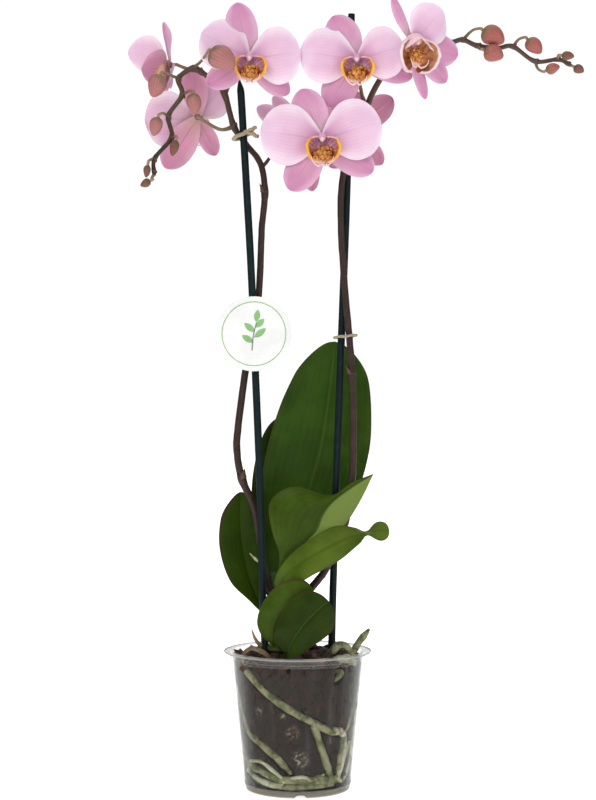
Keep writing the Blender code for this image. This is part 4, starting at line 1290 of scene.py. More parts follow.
@dataclass
class BarkMix:
    """Potting bark: a dark body, chips packed against the wall and loose chips on top."""

    wall_chips: int = 900
    top_chips: int = 300
    chip: Point = (4.9, 3.5, 1.5)  # half sizes

    def stones(self) -> list[tuple[Array, list]]:
        """Model four broken chips, each a rounded and dented block, and return their points and faces.

        Returns:
            For each chip its points, one a row, and the points of its faces.
        """
        out = []
        for k in range(4):
            deselect_all()
            bpy.ops.mesh.primitive_cube_add(size=2.0)
            block = bpy.context.active_object
            bpy.ops.object.mode_set(mode="EDIT")
            bpy.ops.mesh.select_all(action="SELECT")
            bpy.ops.mesh.subdivide(number_cuts=2, smoothness=0.35)
            bpy.ops.object.mode_set(mode="OBJECT")
            points = points_of(block) * MM
            points *= 1 + 0.28 * ripple(points, 1.5, 70 + k)[:, None]
            points[:, 0] *= 1 + 0.35 * points[:, 1] * (k - 1.5) / 2
            out.append((points, [list(face.vertices) for face in block.data.polygons]))
            bpy.data.objects.remove(block, do_unlink=True)
        return out

    def root_paths(self) -> list[tuple[Array, float]]:
        """Lines of the roots that lie against the wall, with their radii."""
        out = [(smooth_line(wall_line(wall, ROOT_R), 80), ROOT_R) for _, wall in ROOTS.values()]
        return out + [(smooth_line(wall_line(wall, radius), 60), radius) for wall, radius in ROOTLETS]

    def clearance(self, place: Array, paths: list[tuple[Array, float]]) -> float:
        """Distance from a place to the nearest root's surface.

        Args:
            place: The place.
            paths: Lines and radii of the roots.

        Returns:
            The distance, below 0 inside a root.
        """
        return min(float(np.min(np.linalg.norm(path - place, axis=1))) - radius for path, radius in paths)

    def body(self) -> bpy.types.Object:
        """The dark mass behind the chips.

        Returns:
            The body.
        """
        profile = [(0.01, BARK_TOP + 5), (16, BARK_TOP + 4.5), (32, BARK_TOP + 3), (46, BARK_TOP + 1)]
        profile += [(float(fill_radius(z)) - 0.7, z) for z in np.linspace(BARK_TOP - 2, 9, 72)]
        profile += [(float(fill_radius(8)) - 2.5, FLOOR_Z + 1), (0.01, FLOOR_Z + 0.6), (0.01, BARK_TOP + 5)]
        return turned("bark_body", profile, 280, CHIP_BARK)

    def bed_roots(self, place: Array, paths: list[tuple[Array, float]]) -> Array:
        """Press a groove for each root into points at the wall, so that the roots lie in the bark.

        Args:
            place: The points, one a row.
            paths: Lines and radii of the roots.

        Returns:
            The moved points.
        """
        out, reach = place.copy(), np.hypot(place[:, 0], place[:, 1])
        outer = reach > 30
        for path, radius in paths:
            gap = np.min(np.linalg.norm(place[outer][:, None, :] - path[None, :, :], axis=2), axis=1) - radius
            deep = 1.2 * radius * np.clip(1.25 - gap / 1.1, 0, 1)
            shrink = 1 - deep / np.maximum(reach[outer], 1)
            pressed = np.abs(place[outer, :2] * shrink[:, None])
            out[outer, :2] = np.minimum(np.abs(out[outer, :2]), pressed) * np.sign(place[outer, :2])
        return out

    def wall_seat(self, k: int, size: Array, paths: list[tuple[Array, float]],
                  rng: np.random.Generator) -> Seat:
        """Choose where a chip against the wall lies, set back where a root passes.

        Args:
            k: Number of the chip.
            size: Its half sizes.
            paths: Lines and radii of the roots.
            rng: Draws the chance in it.

        Returns:
            Its seat.
        """
        a, z = k * GOLDEN_ANGLE, 6.5 + (BARK_TOP - 4) * (k + 0.5) / self.wall_chips
        z += rng.uniform(-2, 2)
        normal = vec(math.cos(a), math.sin(a), 0.0)
        depth = size[2] * 1.25 + rng.uniform(-0.1, 1.2)
        place = normal * (float(fill_radius(z)) - depth) + vec(0, 0, z)
        near = self.clearance(place, paths)
        if near < 0.55 * size[1]:
            place -= normal * (4.4 if near < 0 else 2.4)
        tilt = rng.uniform(-0.28, 0.28, 2)
        tone = 0.1 + 0.14 * rng.random() ** 2 + (0.24 if rng.random() < 0.2 and z > 50 else 0.0)
        return Seat(place, vec(-math.sin(a), math.cos(a), 0.0), vec(0, 0, 1.0), normal, tilt, tone)

    def top_seat(self, k: int, rng: np.random.Generator) -> Seat:
        """Choose where a loose chip on top lies.

        Args:
            k: Number of the chip.
            rng: Draws the chance in it.

        Returns:
            Its seat.
        """
        a, reach = k * GOLDEN_ANGLE, 47.0 * math.sqrt((k - self.wall_chips + 0.5) / self.top_chips)
        tilt = rng.uniform(-0.75, 0.75, 2)
        z = BARK_TOP + 8.5 - 4.0 * (reach / 46) ** 2 + rng.uniform(-2.5, 3.0)
        place = vec(reach * math.cos(a), reach * math.sin(a), z)
        tone = 0.25 + 0.6 * rng.random() ** 1.6
        return Seat(place, vec(1.0, 0, 0), vec(0, 1.0, 0), vec(0, 0, 1.0), tilt, tone)

    def chips(self, paths: list[tuple[Array, float]]) -> tuple[bpy.types.Object, Array]:
        """Lay all the chips.

        Args:
            paths: Lines and radii of the roots.

        Returns:
            The chips as one object, and how pale each of its points is.
        """
        rng = np.random.default_rng(11)
        stones = self.stones()
        clouds, faces, tones, count = [], [], [], 0
        for k in range(self.wall_chips + self.top_chips):
            stone, sides = stones[k % len(stones)]
            size = vec(*self.chip) * rng.uniform(0.45, 1.15) * rng.uniform(0.8, 1.2, 3)
            spin = rng.uniform(0, 2 * math.pi)
            at_wall = k < self.wall_chips
            seat = self.wall_seat(k, size, paths, rng) if at_wall else self.top_seat(k, rng)
            local = stone * size if at_wall else stone * (size * vec(1.05, 1.05, 1.25))
            if at_wall:  # it lies flat on the wall
                local[:, 2] = np.minimum(local[:, 2], 0.75 * size[2])
            cloud = local @ seat.axes(spin) + seat.place
            if at_wall:
                reach = np.hypot(cloud[:, 0], cloud[:, 1])
                limit = fill_radius(cloud[:, 2]) + 0.1
                cloud[:, :2] *= np.minimum(1.0, limit / np.maximum(reach, 1e-6))[:, None]
                cloud = self.bed_roots(cloud, paths)
            cloud[:, 2] = np.maximum(cloud[:, 2], FLOOR_Z + 0.4)
            clouds.append(cloud)
            faces += [[count + i for i in face] for face in sides]
            tones.append(np.full(len(cloud), seat.tone))
            count += len(cloud)
        mesh = bpy.data.meshes.new("bark_chips")
        mesh.from_pydata((np.vstack(clouds) * MM).tolist(), [], faces)
        chips = bpy.data.objects.new("bark_chips", mesh)
        bpy.context.scene.collection.objects.link(chips)
        mesh.materials.append(CHIP_BARK.material())
        return chips, np.concatenate(tones)

    def stain(self, obj: bpy.types.Object, tones: Array) -> None:
        """Note on each point how pale the bark is and how mouldy.

        Args:
            obj: The bark.
            tones: How pale each point is.
        """
        spots = np.array(MOULD, float)
        away = np.linalg.norm(points_of(obj)[:, None, :] - spots[None, :, :3], axis=2)
        mould = np.exp(-((away / spots[:, 3]) ** 2)).max(axis=1)
        for name, values in (("tone", tones), ("mould", mould)):
            attribute = obj.data.attributes.new(name, "FLOAT", "POINT")
            attribute.data.foreach_set("value", values.astype(np.float32))

    def build(self) -> None:
        """Shape the body, pack the chips round it and stain both."""
        paths, body = self.root_paths(), self.body()
        rough = points_of(body)
        inner = np.hypot(rough[:, 0], rough[:, 1]) > 1
        rough[inner] *= 1 + 0.007 * (ripple(rough[inner], 6.0, 5)[:, None] - 0.8)
        rough = self.bed_roots(rough, paths)
        rough[:, 2] = np.maximum(rough[:, 2], FLOOR_Z + 0.4)
        move_points(body, rough)
        chips, tones = self.chips(paths)
        self.stain(body, np.full(len(body.data.vertices), 0.06))
        self.stain(chips, tones)
        close_seams(chips)
        settle(join("bark_mix", [body, chips, *self.fibres()]), "bark", "bark", crease=50)
        LOG.info("bark: %d chips", self.wall_chips + self.top_chips)

    def fibres(self) -> list[bpy.types.Object]:
        """Pale fibres and slivers that lie on the bark at the front.

        Returns:
            The fibres.
        """
        rng = np.random.default_rng(3)
        out = []
        for k in range(16):
            a = math.radians(rng.uniform(-150, -25))
            reach = rng.uniform(24, 44)
            middle = vec(reach * math.cos(a), reach * math.sin(a), BARK_TOP + rng.uniform(2.5, 5.0))
            way = unit(vec(*rng.uniform(-1, 1, 2), rng.uniform(-0.1, 0.3))) * rng.uniform(4, 9)
            bow = vec(0, 0, rng.uniform(0.5, 2.0))
            line = smooth_line([middle - way, middle + bow, middle + way], 7)
            out.append(rod(f"fibre_{k}", line, rng.uniform(0.25, 0.6), DRY_SHEATH, 5, flat=0.6))
        return out


# ---------------------------------------------------------------- stem and leaves

LEAF_T = 1.6
FRONT = (0, -1, 0.1)


@dataclass
class Stem:
    """The short stem under the leaf bases, wrapped in old sheaths with one dried tip sticking out."""

    line: Line = ((-11, 1, 102.4), (-13, 1, 125), (-17, 1, 148), (-20, 1, 172))
    radii: Point = (8.0, 7.6, 7.0, 5.2)

    def build(self) -> None:
        """Model the stem, its sheaths and the dried leaf base."""
        line = smooth_line(self.line, 30)
        radii = np.interp(np.linspace(0, 3, 30), range(4), self.radii)
        radii += 0.35 * np.sin(np.linspace(0, 22, 30))
        core = rod("stem_core", line, radii, STEM_SKIN, 28, (0.4, 0.7), 0.04)
        tip = smooth_line([(-22, -9, 113), (-29, -17, 117), (-34, -23, 124), (-36.5, -25, 131)], 12)
        sheath = rod("dried_tip", tip, np.linspace(2.6, 0.7, 12), DRY_SHEATH, 12, flat=0.45, uneven=0.1)
        bit_line = smooth_line([(-31, -13, 184), (-34.5, -14, 187.5), (-38.6, -14.5, 191.5)], 8)
        bit = rod("dried_bract", bit_line,
                  [0.5, 0.9, 1.1, 1.1, 1.0, 0.8, 0.6, 0.3], PALE_ROOT, 10, flat=0.5, uneven=0.1)
        settle(join("stem_with_sheaths", [core, sheath, bit]), "stem", "stem")
        LOG.info("stem")


@dataclass
class Leaf:
    """A strap leaf through stations of (x, y, z, half-width at its left, half-width at its right)."""

    name: str
    stations: Line
    faces: Line  # the ways its upper side looks
    skin: LeafSkin
    under: Finish
    fold: float = 14.0  # its V, in degrees
    droop: float = 0.0  # how far the margins bend back, as a share of the half-width
    blunt: float = 2.3  # how blunt the tip is
    close: float = 0.86  # share of its length at which the tip begins
    wave: float = 0.0  # height of the margin's waves
    rows: int = 96
    cols: int = 30
    seed: int = 0

    def shape(self, t: Array, s: Array) -> Array:
        """Points of the leaf's middle surface.

        Args:
            t: Shares from base to tip.
            s: Shares across, -1 to 1.

        Returns:
            Points in millimetres, one a row.
        """
        t = 1 - (1 - t) ** 1.25
        count = 161
        line, looks = smooth_line(self.stations, count), smooth_line(self.faces, count)
        here = read_at(line, t)
        step = 1.2 / (count - 1)
        way = unit(read_at(line, t + step)[:, :3] - read_at(line, t - step)[:, :3])
        side = unit(np.cross(way, read_at(looks, t)))
        normal = unit(np.cross(side, way))
        close = np.clip((t - self.close) / (1 - self.close), 0, 1)
        shut = (1 - close**self.blunt) ** (1 / self.blunt)
        half = np.where(s > 0, here[:, 4], here[:, 3]) * shut
        rise = math.tan(math.radians(self.fold))
        lift = rise * half * (np.sqrt(s * s + 0.03) - 0.173) - self.droop * half * s * s
        lift -= 0.75 * np.exp(-((s * half / 1.5) ** 2)) * np.clip(6 * (1 - t), 0, 1)
        base = here[:, :3] + side * (half * s)[:, None]
        lift += 0.5 * ripple(base, 42.0, self.seed) * np.abs(s) + 0.10 * np.cos(s * 34) * (1 - s * s)
        waves = np.sin(17 * t + 2.2 * np.sign(s) + self.seed) * np.sin(math.pi * t)
        lift += self.wave * np.abs(s) ** 3 * waves
        return base + normal * lift[:, None]

    def build(self) -> None:
        """Lay the blade, give it its thickness and dress it."""
        leaf = blade(f"{self.name}_blade", self.shape, self.rows, self.cols, LEAF_T, self.under, self.skin,
                     0.4)
        settle(leaf, "leaf", self.name, crease=60)
        LOG.info("%s", self.name)


@dataclass
class FoldedLeaf(Leaf):
    """A leaf folded along its midrib and given by three lines: the midrib and both margins."""

    left: Line = field(default_factory=list)
    right: Line = field(default_factory=list)

    def shape(self, t: Array, s: Array) -> Array:
        """Points of the leaf's middle surface.

        Args:
            t: Shares from base to tip.
            s: Shares across, -1 to 1.

        Returns:
            Points in millimetres, one a row.
        """
        guides = (self.stations, self.left, self.right)
        middle, left, right = (read_at(smooth_line(line, 161), t) for line in guides)
        share = np.abs(s)[:, None]
        out = middle + np.where(s[:, None] > 0, right - middle, left - middle) * share
        room = np.linalg.norm(np.where(s[:, None] > 0, right - middle, left - middle), axis=1)
        swell = np.sin(math.pi * np.abs(s)) * room * np.where(s > 0, 0.05, 0.09)
        curl = np.where(s < 0, 2.6, 0.6) * np.abs(s) ** 6 * np.clip(room / 30, 0, 1)
        out[:, 1] += curl - swell + 0.4 * ripple(out, 40.0, self.seed) * np.abs(s)
        return out


def leaf_skin(name: str, colour: str, deep: str, streak: str, redness: float, rough: float = 0.38,
              rib: str = "#4F6A2A", bright: float = 0.0) -> LeafSkin:
    """The skin of one leaf's upper side.

    Args:
        name: The leaf's name.
        colour: Its green.
        deep: The darker green of its blotches and of the painted shade along its midrib.
        streak: Colour of its streaks and of the right half's painted light.
        redness: How red its margin is.
        rough: Its roughness.
        rib: Colour of its midrib.
        bright: How much paler its right half is painted, as painted light.

    Returns:
        The skin.
    """
    return LeafSkin(f"{name}_skin", colour, rough, mirror=0.1, deep=deep, streak=streak, rib=rib,
                    edge="#43261A", redness=redness, bright=bright)


# Paler and duller than the upper side, with the midrib standing out.
UNDERSIDE = LeafSkin("leaf_underside", "#4C6428", 0.5, mirror=0.25, deep="#3E5620", streak="#5C7436",
                     rib="#667E3E", edge="#4E2419", redness=0.3)


def all_leaves() -> list[Leaf]:
    """The seven leaves, from the oldest at the bottom up.

    Returns:
        The leaves.
    """
    return [
        Leaf(
            "leaf_round_front",
            [(-9, -7.2, 111, 6, 6), (-8.5, -24, 109.5, 7, 7), (-8.5, -38, 112.5, 9, 8),
             (-5, -43, 123, 15, 13), (4, -45, 137, 20, 18.5), (14, -47, 148, 20, 19.5),
             (24, -48.5, 157, 15, 14)],
            [(0, 0.3, 1), (0, -0.3, 1), (-0.2, -1, 0.7), FRONT, FRONT, FRONT, FRONT],
            leaf_skin("round_leaf", "#293B05", "#1C2B02", "#3C5210", 0.6), UNDERSIDE,
            fold=6, droop=0.12, blunt=2.8, close=0.78, wave=0.5, seed=1,
        ),
        Leaf(
            "leaf_small_front",
            [(-17, -7.15, 119, 5, 5), (-17.3, -20, 117, 4.5, 6), (-18.5, -29, 120, 6.5, 6.5),
             (-16, -34, 135, 17, 13), (-8, -37, 148, 20, 18), (2, -39, 156, 19, 15), (14, -40, 160, 14, 11)],
            [(0, 0.3, 1), (0, -0.4, 1), (-0.2, -1, 0.5), FRONT, FRONT, FRONT, FRONT],
            leaf_skin("small_leaf", "#40580E", "#2D3F06", "#567020", 0.65), UNDERSIDE,
            fold=8, droop=0.12, blunt=3.0, close=0.78, wave=2.2, seed=2,
        ),
        Leaf(
            "leaf_lower_left",
            [(-23.9, 1, 138, 5, 5), (-31.5, -1, 151, 8, 7), (-39, 3.5, 170, 17, 13),
             (-44.5, 5.5, 195, 20.5, 15.5), (-46.5, 4.5, 218, 18, 13.5), (-46, 3, 240, 9, 8)],
            [(0.7, 0, 0.7), (0.6, -0.7, 0.4), (0.3, -1, 0.1), (0.3, -1, 0), (0.3, -1, 0), (0.3, -1, 0)],
            leaf_skin("lower_leaf", "#2F4504", "#243803", "#3E580C", 1.0), UNDERSIDE,
            fold=14, blunt=2.2, close=0.8, wave=0.4, seed=3,
        ),
        Leaf(
            "leaf_back_left",
            [(-18, 8.6, 150, 5, 5), (-19, 26, 170, 13, 13), (-17, 36, 205, 20, 20), (-15, 38, 245, 23, 23),
             (-10, 37, 280, 20, 20), (-4, 35, 304, 10, 10)],
            [(0, -1, 1), FRONT, FRONT, FRONT, FRONT, FRONT],
            leaf_skin("back_leaf", "#293F06", "#1D2F03", "#38520C", 0.5), UNDERSIDE, fold=10, seed=4,
        ),
        Leaf(
            "leaf_big_back",
            [(-20.5, 8.4, 161, 5, 5), (-15, 17, 180, 18, 18), (-2, 21, 210, 33, 32), (9, 22.5, 240, 40.5, 38),
             (19, 23, 275, 43, 39.5), (24, 23, 305, 39, 37), (28, 22, 335, 30, 30.5),
             (30.5, 20, 363, 18, 19)],
            [(0.1, -1, 0.6)] + [(0.05, -1, 0)] * 7,
            leaf_skin("big_leaf", "#344F10", "#28410A", "#466820", 0.25), UNDERSIDE,
            fold=9, blunt=2.2, close=0.84, rows=120, cols=40, seed=5,
        ),
        FoldedLeaf(
            "leaf_folded",
            [(-15.5, -4.6, 165), (-10, -12, 180), (-3.4, -16, 191.3), (7.7, -17.5, 202.4),
             (15.5, -18.5, 211.4), (19.5, -19.5, 222.4), (27.7, -20, 233.5),
             (43, -20.5, 244.5), (60.5, -20, 255)],
            # Painted light: bright=0.85 paints the right half, which faces the lamps, paler.
            [], leaf_skin("folded_leaf", "#3D540A", "#2E4204", "#788C44", 0.25, rib="#4A6426", bright=0.85),
            UNDERSIDE,
            rows=130, cols=36, seed=6,
            left=[(-19.5, -4.6, 165.5), (-15.5, -13, 180), (-15, -19, 193), (-20.5, -22, 210),
                  (-22, -23.5, 233.5), (-3, -24, 245.5), (26, -22, 238.5),
                  (43, -20.5, 248.5), (60.5, -20, 255.5)],
            right=[(-11.5, -4.6, 164.5), (-5, -12, 178), (3, -18, 186.5), (16, -21, 195), (27, -23, 202),
                   (36.6, -24, 213.5), (45, -24, 225.5), (53.5, -22, 240.5), (60.5, -20, 255)],
        ),
        Leaf(
            "leaf_arching",
            [(-17.5, -6.5, 150, 5, 5), (-15, -20, 160, 7, 8), (-9, -27, 175, 8.5, 13),
             (4, -31, 186.5, 12.5, 15.5), (18, -34, 195, 14.5, 16.5), (34, -35, 203.5, 15, 15.5),
             (47, -35, 207.5, 12, 12),
             (55, -35, 209.5, 9, 9), (64, -35, 211, 9, 9.5), (72.5, -34, 211.5, 8, 8)],
            [(0.2, -0.6, 1), (-0.2, -0.9, 0.8), (-0.3, -1, 0.6), (-0.4, -1, 0.6), (-0.3, -1, 0.7),
             (-0.2, -1, 0.9), (0, -0.55, 1), (0, -0.1, 1), (-0.1, -0.8, 0.7), (-0.1, -1, 0.3)],
            leaf_skin("arching_leaf", "#566B1C", "#415610", "#748A3C", 0.55), UNDERSIDE,
            fold=8, droop=0.12, blunt=2.6, close=0.88, rows=130, cols=30, seed=7,
        ),
    ]


# ---------------------------------------------------------------- flowers

TEPAL_T = 0.75
HUB = 3.3


class Tepal(Enum):
    """The five outer parts of a flower, by the name that its changes use."""

    DORSAL = "dorsal"
    LEFT_SEPAL = "left_sepal"
    RIGHT_SEPAL = "right_sepal"
    LEFT_PETAL = "left_petal"
    RIGHT_PETAL = "right_petal"

    @property
    def is_petal(self) -> bool:
        """True for the two broad petals."""
        return "petal" in self.value


@dataclass(frozen=True)
class TepalForm:
    """Size and place of a tepal, seen from the front of the flower."""

    angle: float  # from the flower's right, in degrees
    length: float
    half: float
    lean: float  # how far its tip leans to the front, in degrees
    cup: float
    step: float  # how far it starts in front of the hub
    claw: float
    peak: float

    def width(self, t: Array) -> Array:
        """Share of the half-width at shares of the length, closing round at the tip.

        Args:
            t: Shares of the length.

        Returns:
            One share of the half-width for each.
        """
        rising = self.claw + (1 - self.claw) * np.sin(0.5 * math.pi * np.clip(t / self.peak, 0, 1))
        u = np.clip((t - self.peak) / (1 - self.peak), 0, 1)
        return np.where(t < self.peak, rising, (1 - u**2.35) ** 0.56)


FORMS = {
    Tepal.DORSAL: TepalForm(100, 43, 12.5, 5, -0.10, -1.2, 0.3, 0.55),
    Tepal.LEFT_SEPAL: TepalForm(232, 42, 11.5, 3, -0.12, -1.0, 0.3, 0.55),
    Tepal.RIGHT_SEPAL: TepalForm(318, 42, 11.5, 3, -0.12, -2.2, 0.3, 0.55),
    Tepal.LEFT_PETAL: TepalForm(167, 45, 23.0, 8, -0.04, 1.5, 0.2, 0.52),
    Tepal.RIGHT_PETAL: TepalForm(13, 45, 23.0, 8, -0.04, 1.9, 0.2, 0.52),
}

Row = tuple[float | None, ...]
# Each flower: place, the way it looks (see facing), size, and for each tepal in the order of Tepal its
# own angle, length, half-width and lean; None or a missing number leaves that of FORMS.
BLOOMS: dict[str, tuple[Point, Point, float, tuple[Row, ...]]] = {
    "a": ((-39, -29, 586), (4, 2, 0), 0.97,
          ((102, 47.5, 13), (212, 40, 11), (320, 43, 10), (150, 44, 21.5, 2), (8, 43, 24))),
    "b": ((-82, 9, 546), (190, 4, 0), 1.0,
          ((84, 43, 11), (243, 34, 8), (302, 49, 13), (128, 32, 16), (356, 43, 23))),
    "c": ((-106, 18, 591), (-76, -4, 0), 0.95,
          ((96, 38, 11, 4), (228, 34, None, 22), (300, 23, None, 10), (148, 42, 19, 46), (340, 33, 16, 52))),
    "d": ((19.5, -30, 522), (0, 0, 0), 1.04,
          ((113, 42, 13.5), (237, 46, 13), (328, 46, 12), (172, 48, 23.5), (17, 47, 23.5))),
    "e": ((47.5, -26, 586), (-4, 0, 0), 1.0,
          ((119, 40, 14), (237, 43, 14), (344, 46, 9.5, -6), (171, 46, 22.5), (15, 39, 21))),
    "f": ((91.5, -31, 600), (24, -8, 0), 0.95,
          ((124, 43, 4.5, 6), (289, 49, 6, 0), (349, 43, 14, 6), (316, 45, 10, 2), (50, 37, 19, 4))),
    "g": ((6, 12, 531), (184, 0, 0), 0.9,
          ((52, 47, 8), (262, 50, 9), (320, 36), (118, 38, 18), (33, 52, 10))),
    "h": ((44, 24, 537), (172, 0, 0), 0.95,
          ((96, 36, 12), (226, 40, 9), (300, 36), (140, 47, 13), (30, 38, 19))),
}

# Skins: petals are palest, sepals mauve, backs rose with stronger veins.
PETAL_FACE = TepalSkin("petal_face", "#E8C2DA", 0.5, glow=0.22, sheen=0.12, mirror=0.35, heart="#CB90B8",
                       margin="#F6E8F1", vein="#BF82AF", tip="#E9CCE3", veins=17, strength=0.12)
SEPAL_FACE = TepalSkin("sepal_face", "#D8A2C0", 0.5, glow=0.2, sheen=0.12, mirror=0.35, heart="#D6BAC2",
                       margin="#E2B8D3", vein="#AC6694", tip="#C986AE", veins=11, rib=0.4)
TEPAL_BACK = TepalSkin("tepal_back", "#E2A2BC", 0.55, glow=0.2, sheen=0.15, mirror=0.35, heart="#CFA79A",
                       margin="#DDB0C8", vein="#A05C82", tip="#C884A6", veins=11, strength=0.18, rib=0.55)
PETAL_BACK = TepalSkin("petal_back", "#E8C6DC", 0.55, glow=0.2, sheen=0.15, mirror=0.35, heart="#D4A8B4",
                       margin="#F8EAF4", vein="#C690B2", tip="#E8C0D8", strength=0.14)


def facing(azimuth: float, elevation: float, roll: float) -> Array:
    """Axes of a flower as columns right, up, front; azimuth 0 looks at -Y and turns toward +X.

    Args:
        azimuth: Turn to the right, in degrees.
        elevation: Turn upward, in degrees.
        roll: Turn about its own front, in degrees.

    Returns:
        The axes.
    """
    a, e, r = (math.radians(x) for x in (azimuth, elevation, roll))
    n = vec(math.sin(a) * math.cos(e), -math.cos(a) * math.cos(e), math.sin(e))
    right = vec(math.cos(a), math.sin(a), 0.0)
    up = np.cross(n, right)
    r0, u0 = right * math.cos(r) + up * math.sin(r), up * math.cos(r) - right * math.sin(r)
    return np.column_stack([r0, u0, n])


# Petals dressed like sepals, by flower.
ROSY: dict[str, tuple[str, ...]] = {
    "c": ("right_petal",), "f": ("left_petal",), "h": ("left_petal", "right_petal")}
# The free edge and the foot of the lip's right ear, from the bottom up: right, up, front.
EAR_EDGE: Line = ((2.6, -18.2, 11.0), (8.4, -17.8, 12.4), (12.8, -12.6, 13.6), (14.4, -6.4, 13.6),
                  (12.2, -0.8, 12.4), (7.2, 1.8, 10.2), (2.8, 2.2, 8.0))
EAR_FOOT: Line = ((1.6, -14.6, 6.4), (2.7, -9.0, 5.0), (2.0, -3.6, 5.4))
# Lumps of the callus: right, up, front and radius.
CALLUS_LUMPS: Line = (
    (-2.0, -11.4, 11.2, 2.4), (2.1, -12.2, 11.0, 2.4), (0.4, -14.9, 11.6, 2.8), (-3.8, -14.8, 10.2, 2.2),
    (4.1, -15.4, 10.3, 2.3), (0.6, -8.6, 9.4, 2.1), (-5.4, -11.8, 8.8, 1.7), (5.6, -11.6, 8.8, 1.9),
    (-2.6, -7.6, 8.0, 1.6), (3.6, -7.4, 8.0, 1.7), (6.6, -8.0, 7.6, 1.3))


@dataclass
class Bloom:
    """One flower: sepals, petals and column as one piece, and its lip as another."""

    name: str
    centre: Array
    axes: Array
    size: float
    changes: tuple[Row, ...]
    start: float = 1.2  # how far from the middle a tepal starts
    lip_size: float = 1.0
    rim: Finish = LIP_RIM
    lobe_skins: tuple[Finish, Finish] = (LIP_FACE, LIP_BACK)
    rosy: tuple[str, ...] = ()  # petals dressed like sepals
    pale: tuple[str, ...] = ()  # sepals dressed like petals
    hood: float = 1.0  # how much larger than the others its column is
    column_skin: Finish = COLUMN_SKIN

    def half_open(self) -> None:
        """Give the flower the larger, paler lip and column that it has before it opens flat."""
        self.lip_size, self.hood = 1.42, 1.5
        self.rim, self.lobe_skins, self.column_skin = PALE_RIM, (DEEP_FACE, PALE_BACK), PEACH_COLUMN

    def put(self, local: Array) -> Array:
        """Points of the flower's own frame (right, up, front) in the plant's frame."""
        return local @ self.axes.T + self.centre

    def form(self, part: Tepal) -> TepalForm:
        """The form of one tepal with this flower's changes.

        Args:
            part: The tepal.

        Returns:
            Its form.
        """
        given = zip(("angle", "length", "half", "lean"), self.changes[list(Tepal).index(part)])
        values = {**FORMS[part].__dict__, **{key: value for key, value in given if value is not None}}
        values["length"] *= self.size
        values["half"] *= self.size
        return TepalForm(**values)

    def tepal(self, part: Tepal, seed: int) -> bpy.types.Object:
        """One sepal or petal, cupped, waved and grooved along its middle vein.

        Args:
            part: Which one.
            seed: Seed of its unevenness.

        Returns:
            The tepal.
        """
        form = self.form(part)
        a, lean = math.radians(form.angle), math.radians(form.lean)
        out, side = vec(math.cos(a), math.sin(a), 0.0), vec(-math.sin(a), math.cos(a), 0.0)

        def shape(t: Array, s: Array) -> Array:
            """Points of the tepal's middle surface.

            Args:
                t: Shares from base to tip.
                s: Shares across, -1 to 1.

            Returns:
                Points in millimetres, one a row.
            """
            t = 1 - (1 - t) ** 1.35
            reach = self.start + (form.length - self.start) * t
            turn = lean * (0.25 + 0.75 * t)
            wide = form.half * form.width(t)
            height = math.sin(lean) * reach * (0.25 + 0.75 * t) + form.step * (1 - 0.3 * t)
            height += form.cup * wide * s * s + 0.03 * form.half * np.sin(7 * t + 2.6 * s + a) * s * s
            height -= 0.45 * np.exp(-((s * wide / 1.1) ** 2)) * np.sin(math.pi * np.clip(t, 0, 1)) ** 0.5
            flat = out * (reach * np.cos(turn))[:, None] + side * (wide * s)[:, None]
            height += 1.25 * ripple(flat, 26.0, seed) * (0.25 + t) * (0.3 + np.abs(s))
            height += (1.6 if part.is_petal else 0.8) * np.sin(math.pi * t) * (1 - s * s)
            flat[:, 2] = height
            return self.put(flat)

        rows, cols = (46, 36) if part.is_petal else (44, 22)
        pale = part.value in self.pale or (part.is_petal and part.value not in self.rosy)
        face, back = (PETAL_FACE, PETAL_BACK) if pale else (SEPAL_FACE, TEPAL_BACK)
        return blade(f"{self.name}_{part.value}", shape, rows, cols, TEPAL_T, face, back, 0.35)

    def column(self) -> list[bpy.types.Object]:
        """The column with its anther cap, and the neck where the flower stem joins.

        Returns:
            The column, its cap and the neck.
        """
        bow = smooth_line([(0, 0.6, 0), (0, 1.9, 3.5), (0, 1.6, 7.0), (0, -0.3, 9.6)], 14)
        line = self.put(bow * self.size)
        radii = np.interp(np.linspace(0, 1, 14), [0, 0.4, 0.8, 1], [3.6, 2.9, 3.0, 2.3])
        radii *= self.size * self.hood
        body = rod(f"{self.name}_column", line, radii, self.column_skin, 18, (0.3, 0.6))
        cap_line = self.put(smooth_line([(0, 0.6, 8.8), (0, -0.8, 10.1), (0, -2.3, 10.3)], 8) * self.size)
        cap_radii = np.array([1.6, 1.9, 2.0, 2.0, 1.8, 1.5, 1.1, 0.7]) * self.size
        cap = rod(f"{self.name}_cap", cap_line, cap_radii, ANTHER_SKIN, 16)
        neck_line = self.put(smooth_line([(0, 0, -HUB - 0.2), (0, 0, -1.4), (0, 0, 0.6)], 10) * self.size)
        neck = rod(f"{self.name}_neck", neck_line, np.linspace(1.7, 4.4, 10) * self.size, PEDICEL, 18)
        return [body, cap, neck]

    def lobe(self, sign: int) -> list[bpy.types.Object]:
        """A side lobe of the lip: a hollow ear beside the column, its free edge rolled and golden.

        Args:
            sign: 1 for the right lobe, -1 for the left one.

        Returns:
            The ear and its rolled edge.
        """
        reach = self.lip_size * (1.0 if sign > 0 else 0.86)
        edge_points = np.array(EAR_EDGE) * vec(sign * reach, self.lip_size, 1.0)
        foot_points = np.array(EAR_FOOT) * vec(sign * reach, self.lip_size, 1.0)
        edge_line, foot_line = smooth_line(edge_points, 60), smooth_line(foot_points, 60)
        heart = vec(sign * 6.5 * reach, -8.0 * self.lip_size, 10.0)

